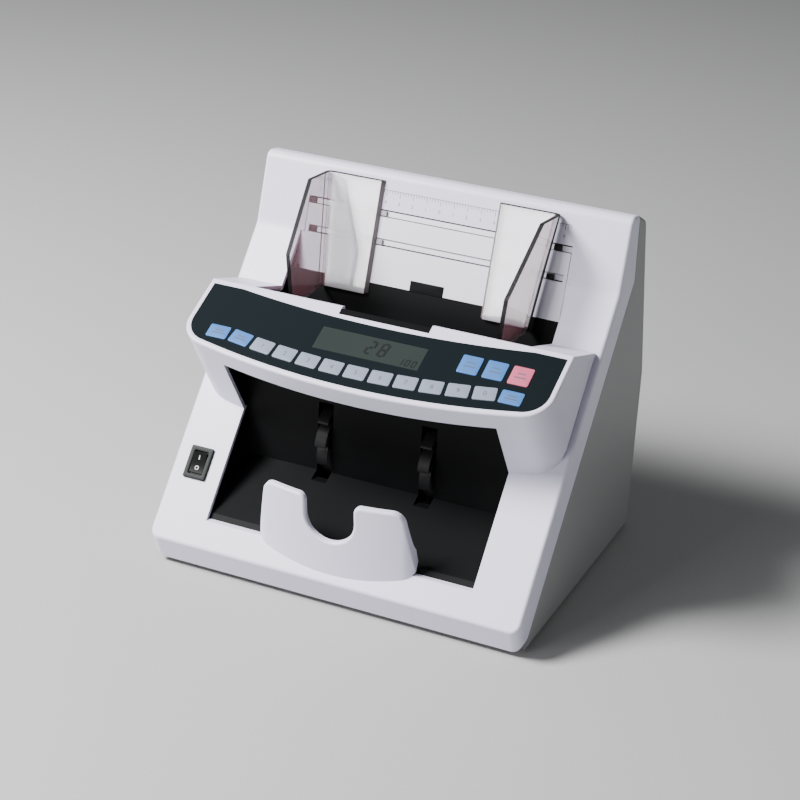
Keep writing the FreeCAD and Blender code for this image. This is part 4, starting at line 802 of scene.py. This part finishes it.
@dataclass
class Hopper:
    """Back plate, rails, black tub and the two clear note guides."""

    plate: Plane = UPPER_PLATE
    lean: float = UPPER_LEAN
    low: float = 0.171
    high: float = 0.2483
    flange_high: float = 0.2460
    kink: float = 0.2081
    half_low: float = 0.0756
    half_high: float = 0.0836
    toe: float = 0.0026
    toe_front: float = -0.025
    inner: float = 0.042
    front: float = -0.022
    peak: float = 0.0192
    sheet: float = 0.003
    gap: float = 0.0004
    bend: float = 0.003
    chamfer: float = 0.0022
    slots: Pair = (0.2246, 0.2056)
    slot_tall: float = 0.0049
    slot_half: Pair = (0.0973, 0.0943)
    # Gaps under and over each rail face; the black pit behind them shows through as lines of painted shade.
    slot_gaps: tuple[Span, Span] = ((0.0005, 0.0009), (0.0008, 0.0004))
    bar_corner: float = 0.0004
    bar_edge: float = 0.0002
    rail_inset: float = 0.0004
    rail_depth: Span = (-0.0024, -0.0012)
    # Depths of the painted shade pit, and the ends and depths of the dark block of painted shadow at each
    # slot's left end.
    shade_pit_depth: Span = (-0.0031, -0.0025)
    end_shadow: Span = (0.0003, 0.006)
    end_shadow_depth: Span = (-0.0023, -0.0008)
    cheek: Span = (0.0966, 0.1012)
    cheek_low: float = 0.180
    cheek_depth: Span = (-0.0024, -0.0003)
    window_half: float = 0.0125
    window: Span = (0.1776, 0.1847)
    window_depth: Span = (-0.0010, 0.00012)
    wing_start: float = 0.09
    flange_columns: int = 4
    bend_points: int = 7
    wing_points: int = 7
    lower_rows: int = 8
    upper_rows: int = 9
    # Columns of faces in each band of finish, from the flange's free edge to the wing's front.
    right_inside: tuple[int, ...] = (4, 13)
    right_outside: tuple[int, ...] = (7, 4, 6)
    left_bands: tuple[int, ...] = (4, 5, 1, 7)
    left_sliders: tuple[Span, Span] = ((-0.0520, -0.0378), (-0.0520, -0.0378))
    # The right guide's slider blocks stand out past the bend in dark plastic: real sliders, also placed and
    # darkened as painted shadow of the wing on the slots.
    right_sliders_and_shadow: tuple[Span, Span] = ((0.0844, 0.0900), (0.0825, 0.0880))
    slider_tall: Span = (-0.0018, 0.0016)
    slider_depth: Span = (-0.0010, 0.0003)

    def dress(self) -> None:
        """Finish the plate, the rails and the tub."""
        dress(Finish.PLATE, "hopper_back_plate")
        dress(Finish.RAIL, "guide_rails")
        dress(Finish.TRAY, "hopper_tray")

    def build(self) -> None:
        """Add the rails' faces with their painted shade, the cheeks, the window and both guides."""
        self._rails()
        self._cheeks()
        self._window()
        self._guide("left", -1.0, self.left_sliders, Finish.FOOT)
        # The right guide's blocks take the dark slider finish, which also paints the wing's shadow.
        self._guide("right", 1.0, self.right_sliders_and_shadow, Finish.SLIDER)

    def _bar(self, across: Span, heights: Span, depth: Span) -> Surface:
        """A block on the plate between two places across and two heights.

        Args:
            across: Its two ends.
            heights: Its lower and upper edge.
            depth: Its back and front, out of the plate.

        Returns:
            The block in the machine's frame.
        """
        rises = [plate_rise(height) for height in heights]
        middle = (sum(across) / 2, sum(rises) / 2)
        half = ((across[1] - across[0]) / 2, (rises[1] - rises[0]) / 2)
        return block(middle, half, *depth, self.bar_corner, self.bar_edge).on(self.plate)

    def _rails(self) -> None:
        """Each rail's face lies behind the plate, with a black pit behind the gap round it as painted
        shade, and a dark block at its left end as painted shadow of the slot's end wall.
        """
        parts = []
        for slot, half, (below, above) in zip(self.slots, self.slot_half, self.slot_gaps):
            low, high = slot - self.slot_tall / 2, slot + self.slot_tall / 2
            rail = (low + below, high - above)
            reach = half - self.rail_inset
            near, far = self.end_shadow
            parts += [
                self._bar((-reach, reach), rail, self.rail_depth).painted(RailFace.FRONT),
                self._bar((-half, half), (low, high), self.shade_pit_depth).painted(RailFace.SHADE_PIT),
                self._bar((near - half, far - half), rail, self.end_shadow_depth).painted(RailFace.END_SHADOW),
            ]
        # The black tray finish on the pits and the dark slider finish on the end blocks paint shade and
        # shadow.
        add_piece("rail_faces", Surface.join(parts), [Finish.RAIL, Finish.TRAY, Finish.SLIDER], HOUSING,
                  "rail_plastic")

    def _cheeks(self) -> None:
        """A strip beside each end of the plate closes it off from the inside."""
        heights = (self.cheek_low, self.plate.height)
        near, far = self.cheek
        strips = [self._bar(ends, heights, self.cheek_depth) for ends in ((near, far), (-far, -near))]
        add_piece("plate_cheeks", Surface.join(strips), [Finish.PLATE], HOUSING, "rail_plastic")

    def _window(self) -> None:
        """A dark sensor window stands flush in the middle of the plate's foot."""
        pane = self._bar((-self.window_half, self.window_half), self.window, self.window_depth)
        add_piece("sensor_window", pane, [Finish.TRAY], HOUSING, "black_plastic")

    def _section(self, rows: Array, offset: float) -> Array:
        """One side of the bent sheet: a flange, a quarter bend and a wing that toes in.

        Args:
            rows: Share of the way up for each row.
            offset: Distance from the sheet's middle, positive to the outside.

        Returns:
            Grid of points for the right-hand guide.
        """
        turn = np.linspace(0.0, math.pi / 2, self.bend_points)
        flange = np.linspace(0.0, 1.0, self.flange_columns, endpoint=False)
        wing = np.concatenate([[self.wing_start], np.linspace(0.0, 1.0, self.wing_points)[1:]])
        ahead = np.concatenate([0 * flange, 0 * turn, wing])
        crest = self.flange_high + (self.high - self.flange_high) * ahead
        height = self.low + rows[:, None] * (crest - self.low)
        share = (height - self.low) / (self.high - self.low)
        half = self.half_low + share * (self.half_high - self.half_low) + self.sheet / 2
        back = self.plate.along + (height - self.plate.height) * math.tan(math.radians(self.lean))
        back = back - self.gap - self.sheet / 2
        slope = np.clip((height - self.kink) / (self.high - self.kink), 0.0, 1.0)
        front = self.front + slope * (self.peak - self.front)
        radius = self.bend + offset
        centre_x, centre_y = half - self.bend, back - self.bend
        one, two, three = np.split(np.arange(len(ahead)), [len(flange), len(flange) + len(turn)])
        across, along = np.empty_like(height), np.empty_like(height)
        start = self.inner + (self.chamfer if offset < 0 else 0.0)
        across[:, one] = start + (centre_x[:, one] - start) * flange
        along[:, one] = centre_y[:, one] + radius
        across[:, two] = centre_x[:, two] + radius * np.sin(turn)
        along[:, two] = centre_y[:, two] + radius * np.cos(turn)
        along[:, three] = centre_y[:, three] + (front[:, three] - centre_y[:, three]) * wing
        toed = (centre_y[:, three] - along[:, three]) / (centre_y[:, three] - self.toe_front)
        across[:, three] = centre_x[:, three] + radius - self.toe * toed
        return np.stack([across, along, height], axis=-1)

    def _guide(self, name: str, side: float, sliders: Sequence[Span], finish: Finish) -> None:
        """A clear L-shaped sheet with dark cut edges, and its slider blocks.

        Args:
            name: The side's name.
            side: Its sign across.
            sliders: Both ends of the block in each slot.
            finish: Finish of the blocks.
        """
        turn = (self.kink - self.low) / (self.high - self.low)
        rows = np.concatenate([np.linspace(0.0, turn, self.lower_rows),
                               np.linspace(turn, 1.0, self.upper_rows)[1:]])
        flip = np.array([side, 1.0, 1.0])
        inside = self._section(rows, -self.sheet / 2) * flip
        outside = self._section(rows, self.sheet / 2) * flip
        wing, flange, dark = GuideFace.WING, GuideFace.FLANGE, GuideFace.DARK
        if side > 0:
            near = np.repeat([flange, wing], self.right_inside)
            far = np.repeat([flange, dark, wing], self.right_outside)
        else:
            near = far = np.repeat([flange, wing, dark, wing], self.left_bands)
        sheet = Surface.shell(inside, outside, [near, far], [dark, dark, dark, GuideFace.CUT])
        below, above = self.slider_tall
        blocks = [self._bar(ends, (slot + below, slot + above), self.slider_depth).painted(GuideFace.SLIDER)
                  for ends, slot in zip(sliders, self.slots)]
        add_piece(name + "_guide", Surface.join([sheet, *blocks]),
                  [Finish.SMOKED, Finish.FLANGE_PAINTED_REFLECTION, Finish.SMOKED_EDGE, Finish.CUT_EDGE, finish],
                  name + "_guide", "smoked_plastic", [name + "_note_guide"])


@dataclass
class Console:
    """Console shell, keypad film, display and keys."""

    panel: Plane = Plane(-0.076, 0.1604, 27.17)
    pitch: float = 0.01737
    key: Pair = (0.0152, 0.0107)
    tall_key: Pair = (0.0142, 0.0150)
    row_bow: float = 0.568
    end_rise: float = 0.0079
    upper_rise: float = 0.0262
    upper_start: float = 0.0689
    corner: float = 0.0012
    show: float = 0.0005
    depth: float = 0.0044
    key_edge: float = 0.00045
    numeral: float = 0.0050
    legend_half: float = 0.00045
    legend_widths: Span = (0.38, 0.55)
    legend_rise: float = 0.22
    legend_lift: float = 0.00004
    display_rise: float = 0.0221
    figure_out: float = -0.00016
    large_figure: tuple[float, float, float] = (0.0122, 0.0052, 0.0006)
    small_figure: tuple[float, float, float] = (0.0062, 0.0290, -0.0052)
    face: Plane = Plane(-0.04403, 0.1010, 90.0 - FACE_LEAN)
    foot_ends: Span = (0.1000, 0.1128)
    foot_rise: float = 0.0040
    foot_lift: float = 0.0001
    foot_depth: Span = (-0.0024, -0.00004)
    foot_round: Span = (0.0002, 0.0001)
    # Half width and span up the panel of the black sheet of painted notch shadow.
    notch_shadow_half: float = 0.0325
    notch_shadow_rise: Span = (0.0442, 0.0491)
    row: tuple[str, ...] = (
        "function_key_a", "function_key_b", "digit_key_1", "digit_key_2", "digit_key_3", "digit_key_4",
        "digit_key_5", "digit_key_6", "digit_key_7", "digit_key_8", "digit_key_9", "digit_key_0",
        "start_key")
    upper: tuple[str, ...] = ("function_key_c", "function_key_d", "clear_key")

    def dress(self) -> None:
        """Finish the shell, the film and the boards."""
        dress(Finish.FRONT, "console_cover")
        dress(Finish.FILM, "keypad_panel")
        dress(Finish.DISPLAY, "display_window", "display_module")
        dress(Finish.BOARD, "keypad_board")

    def build(self) -> None:
        """Add the keys, the display's figures, the painted shadow at the finger notch and the foot's
        corners.
        """
        for number, name in enumerate(self.row):
            self._row_key(number, name)
        for number, name in enumerate(self.upper):
            middle = (self.upper_start + number * self.pitch, self.upper_rise)
            self._key(name, middle, self.tall_key, 0.0)
        self._figures()
        self._notch_shadow()
        self._foot()

    def _row_key(self, number: int, name: str) -> None:
        """A key of the bowed row: the row is an arc and each key turns with it.

        Args:
            number: Its place from the left.
            name: The key's name.
        """
        step = number - len(self.row) // 2
        across = step * self.pitch
        if abs(step) == len(self.row) // 2:
            self._key(name, (across, self.end_rise), self.key, 0.0)
            return
        rise = self.row_bow - math.sqrt(self.row_bow ** 2 - across ** 2)
        self._key(name, (across, rise), self.key, math.asin(across / self.row_bow))

    def _key(self, name: str, middle: Pair, size: Pair, turn: float) -> None:
        """A cap with a soft shoulder and a printed legend.

        Args:
            name: The key's name.
            middle: Its middle across and up the panel.
            size: Its width and depth.
            turn: Its angle in the panel.
        """
        half = (size[0] / 2, size[1] / 2)
        cap = block((0.0, 0.0), half, -self.depth, self.show, self.corner, self.key_edge)
        legend = self._legend(name, half).painted(PRINTED)
        both = Surface.join([cap, legend])
        cos, sin = math.cos(turn), math.sin(turn)
        spin = np.array([[cos, sin, 0.0], [-sin, cos, 0.0], [0.0, 0.0, 1.0]])
        both.points = both.points @ spin + np.array([*middle, 0.0])
        finish, slot = Finish.GREY_KEY, "grey_key"
        if name == "clear_key":
            finish, slot = Finish.PINK_KEY, "pink_key"
        elif not name.startswith("digit"):
            finish, slot = Finish.BLUE_KEY, "blue_key"
        finishes = [finish, Finish.KEY_INK]
        add_piece(name + "_piece", both.on(self.panel), finishes, name + "_cap", slot, [name])

    def _legend(self, name: str, half: Pair) -> Surface:
        """A plain numeral, or two short bars on a function key.

        Args:
            name: The key's name.
            half: Half of its width and depth.

        Returns:
            The legend, flat over the cap.
        """
        out = self.show + self.legend_lift
        if name.startswith("digit"):
            return lettered(name[-1], self.numeral, (0.0, 0.0), out)
        widths = half[0] * np.array(self.legend_widths)
        rises = half[1] * self.legend_rise * np.array([1.0, -1.0])
        return flat_bars(np.stack([np.zeros(2), rises], axis=-1),
                         np.stack([widths, np.full(2, self.legend_half)], axis=-1), out)

    def _figures(self) -> None:
        """Slanted figures of the display, lying on its window."""
        words = [segments(text, tall, (across, self.display_rise + rise), self.figure_out)
                 for text, (tall, across, rise) in (("28", self.large_figure), ("100", self.small_figure))]
        figures = Surface.join(words).on(self.panel)
        add_piece("display_figures", figures, [Finish.DARK_INK], HOUSING, "display")

    def _notch_shadow(self) -> None:
        """A thin black sheet in front of the finger notch: painted shadow, standing for the shade that
        falls into the notch.
        """
        low, high = self.notch_shadow_rise
        middle = np.array([[0.0, (low + high) / 2]])
        shadow_sheet = flat_bars(middle, np.array([[self.notch_shadow_half, (high - low) / 2]]), PRINT_LIFT)
        # The black tray finish here is painted shade, not a part with a colour of its own.
        add_piece("notch_painted_shadow", shadow_sheet.on(self.panel), [Finish.TRAY], HOUSING, "black_plastic")

    def _foot(self) -> None:
        """A flush block closes the face under each lower corner of the shell."""
        near, far = self.foot_ends
        half = ((far - near) / 2, self.foot_rise / 2)
        middles = [(side * (near + far) / 2, half[1] + self.foot_lift) for side in (-1.0, 1.0)]
        blocks = [block(middle, half, *self.foot_depth, *self.foot_round) for middle in middles]
        corners = Surface.join(blocks).on(self.face)
        add_piece("console_foot", corners, [Finish.FRONT], HOUSING, "front_shell")


@dataclass
class Stacker:
    """Black pocket, vaned wheels and the bowed stop."""

    def dress(self) -> None:
        """Finish the pocket, the wheels and the stop."""
        dress(Finish.TRAY, "stacker_tray")
        dress(Finish.VANE, "stacker_wheels")
        dress(Finish.FRONT, "stacker_stop")


@dataclass
class PowerSwitch:
    """Switch bezel and rocker with its I and O marks."""

    across: float = -0.1164
    face: Plane = Plane(-0.07280, 0.0656, 90.0 - FACE_LEAN)
    size: Pair = (0.017, 0.023)
    border: float = 0.0033
    edge: float = 0.0006
    seat: float = 0.0002
    corner: float = 0.0012
    show: float = 0.0016
    depth: float = 0.0060
    rocker_half: float = 0.0071
    rocker_width: float = 0.0100
    rocker_low: float = -0.0035
    rise: float = 0.0030
    dish: float = 0.0007
    swing: float = 8.0
    crown_points: int = 17
    crisp: float = 30.0
    mark_share: float = 0.5
    bar_half: Span = (0.0003, 0.0014)
    ring_radii: Span = (0.0010, 0.0015)
    ring_points: int = 33

    def build(self) -> None:
        """Add the bezel and the rocker."""
        self._bezel()
        self._rocker()

    def _bezel(self) -> None:
        """A frame: a rounded rectangle carried over a rounded rim and down into the well."""
        fall, run = quarter_round(self.edge)
        inset = np.concatenate([[0.0], run, self.border - fall, [self.border, self.border + self.seat]])
        out = np.concatenate([[-self.seat], self.show - fall, self.show - run, [-self.depth, -self.depth]])
        half = np.array(self.size) / 2
        flat = rounded_ring(half[0] - inset, half[1] - inset, np.full_like(inset, self.corner))
        bezel = Surface.loft(lifted(flat + np.array([self.across, 0.0]), out)).on(self.face)
        add_piece("switch_bezel", bezel, [Finish.SWITCH], HOUSING, "black_plastic", ["switch_housing"])

    def _crown(self, up: Array) -> Array:
        """Height of the rocker's top: a slope with a shallow dish.

        Args:
            up: Places up the face from the rocker's middle.

        Returns:
            The height at each place.
        """
        half = self.rocker_half
        slope = math.tan(math.radians(self.swing))
        return self.rise - half * slope + up * slope + self.dish * (up / half) ** 2 - self.dish

    def _rocker(self) -> None:
        """A dished profile carried across, with a bar and a ring printed on its top."""
        up = np.linspace(-self.rocker_half, self.rocker_half, self.crown_points)
        low = np.full_like(up, self.rocker_low)
        top, base = np.stack([up, self._crown(up)], axis=-1), np.stack([up[::-1], low], axis=-1)
        ring = np.concatenate([top, base])
        across = self.across + np.array([-1.0, 1.0]) * self.rocker_width / 2
        ends = np.broadcast_to(across[:, None, None], (2, len(ring), 1))
        rings = np.concatenate([ends, np.broadcast_to(ring, (2, *ring.shape))], axis=-1)
        marks = self._marks()
        marks.points[:, 2] = self._crown(marks.points[:, 1]) + PRINT_LIFT
        cap = Surface.join([Surface.loft(rings), marks.painted(PRINTED)]).on(self.face)
        add_piece("rocker_cap", cap, [Finish.ROCKER, Finish.WHITE_INK], "rocker", "black_plastic",
                  ["power_rocker"], self.crisp)

    def _marks(self) -> Surface:
        """A short bar over a flat ring, which is a circle of two radii.

        Returns:
            Both marks, flat in the face's frame.
        """
        place = self.rocker_half * self.mark_share
        bar = flat_bars(np.array([[self.across, place]]), np.array([self.bar_half]), 0.0)
        angle = np.linspace(0.0, 2 * math.pi, self.ring_points)
        radius = np.array(self.ring_radii)[:, None]
        circle = np.stack([self.across + radius * np.cos(angle), radius * np.sin(angle) - place,
                           0 * radius * angle], axis=-1)
        ring = Surface(circle.reshape(-1, 3), Surface.quads(2, self.ring_points, False).tolist())
        return Surface.join([bar, ring])


@dataclass
class Mechanism:
    """Everything inside: frames, shafts, rollers, drive and electrics."""

    def dress(self) -> None:
        """Finish the hidden pieces."""
        dress(Finish.SHEET_STEEL, "left_side_frame", "right_side_frame", "transformer")
        dress(Finish.BRIGHT_STEEL, "stay_bars", "shaft_bearings", "feed_shaft", "pickup_shaft",
              "stacker_shaft", "motor_shaft", "separator_shaft")
        dress(Finish.RUBBER, "feed_rollers", "pickup_rollers", "separator_rollers", "motor_belt",
              "stacker_belt", "pickup_belt")
        dress(Finish.PULLEY, "feed_pulleys", "pickup_pulley_wheel", "stacker_pulley_wheel",
              "motor_pulley_wheel")
        dress(Finish.ENAMEL, "drive_motor")
        dress(Finish.BOARD, "main_board")
        dress(Finish.TRAY, "note_sensor_bar", "mains_inlet")


@dataclass(frozen=True)
class SoftLight:
    """A soft rectangular light, placed by its angles round the machine."""

    name: str
    azimuth: float
    elevation: float
    distance: float
    size: Pair
    power: float

    def build(self, target: Vector) -> None:
        """Add the light so that it faces the target.

        Args:
            target: Place that it is aimed at.
        """
        lamp = bpy.data.lights.new(self.name, "AREA")
        lamp.shape = "RECTANGLE"
        lamp.size, lamp.size_y = self.size
        lamp.energy = self.power
        light = bpy.data.objects.new(self.name, lamp)
        back = heading(self.azimuth, self.elevation)
        light.location = target + back * self.distance
        light.rotation_euler = back.to_track_quat("Z", "Y").to_euler()
        bpy.context.scene.collection.objects.link(light)


def heading(azimuth: float, elevation: float) -> Vector:
    """Direction to a viewer at an azimuth, round from the front, and an elevation."""
    turn, lift = math.radians(azimuth), math.radians(elevation)
    return Vector((math.sin(turn) * math.cos(lift), -math.cos(turn) * math.cos(lift), math.sin(lift)))


@dataclass
class Studio:
    """Pale floor, soft lights and the photograph's camera."""

    target: tuple[float, float, float] = (0.0, -0.003, 0.112412)
    azimuth: float = 23.505
    elevation: float = 24.495
    roll: float = 2.899
    distance: float = 1.366243
    lens: float = 90.481
    sensor: float = 36.0
    floor_half: float = 3.0
    floor: PrintedInk = PrintedInk("pale_floor", (0.41, 0.41, 0.41), 0.7)
    sky: Colour = (0.86, 0.88, 0.92)
    sky_strength: float = 0.14
    lights: tuple[SoftLight, ...] = (
        SoftLight("key_light", -54.0, 44.0, 1.9, (0.6, 0.6), 118.0),
        SoftLight("front_card", -22.2, 13.5, 1.68, (0.62, 0.36), 10.5),
        SoftLight("fill_light", 116.0, 14.0, 2.0, (1.2, 1.2), 6.5),
    )

    def build(self) -> None:
        """Make the floor, the lights and the camera."""
        self._floor()
        for light in self.lights:
            light.build(Vector(self.target))
        self._sky()
        self._camera()

    def _floor(self) -> None:
        """A wide flat sheet."""
        half = self.floor_half
        surface = flat_bars(np.array([[0.0, 0.0]]), np.array([[half, half]]), 0.0)
        mesh = bpy.data.meshes.new("floor")
        mesh.from_pydata(surface.points.tolist(), [], surface.faces)
        mesh.materials.append(self.floor.material())
        floor = bpy.data.objects.new("floor", mesh)
        bpy.context.scene.collection.objects.link(floor)
        floor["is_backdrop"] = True

    def _sky(self) -> None:
        """Even pale surroundings."""
        world = bpy.data.worlds.new("surroundings")
        world.use_nodes = True
        background = world.node_tree.nodes["Background"]
        background.inputs["Color"].default_value = (*self.sky, 1.0)
        background.inputs["Strength"].default_value = self.sky_strength
        bpy.context.scene.world = world

    def _camera(self) -> None:
        """Look at the target from the fitted angle, rolled about the view."""
        back = heading(self.azimuth, self.elevation)
        right = Vector((0.0, 0.0, 1.0)).cross(back).normalized()
        up = back.cross(right)
        angle = math.radians(self.roll)
        across = math.cos(angle) * right + math.sin(angle) * up
        over = -math.sin(angle) * right + math.cos(angle) * up
        lens = bpy.data.cameras.new("camera")
        lens.lens = self.lens
        lens.sensor_width = self.sensor
        camera = bpy.data.objects.new("camera", lens)
        axes = Matrix((across, over, back)).transposed()
        camera.matrix_world = Matrix.Translation(Vector(self.target) + back * self.distance) @ axes.to_4x4()
        bpy.context.scene.collection.objects.link(camera)
        bpy.context.scene.camera = camera


def write_sizes() -> None:
    """Gather the CAD box and the dressed box side by side; the table is not written anywhere."""
    boxes = {"cad": CAD_BOX, "visual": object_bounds()}
    plain = {name: [list(corner) for corner in box] for name, box in boxes.items()}


def main() -> None:
    """Build the machine, then the studio."""
    logging.basicConfig(level=logging.INFO, format="%(name)s: %(message)s")
    for dressed in (Shell(), Hopper(), Console(), Stacker(), Mechanism()):
        dressed.dress()
    for built in (Shell(), Hopper(), Console(), PowerSwitch(), Studio()):
        built.build()
    write_sizes()


if __name__ == "__main__":
    main()
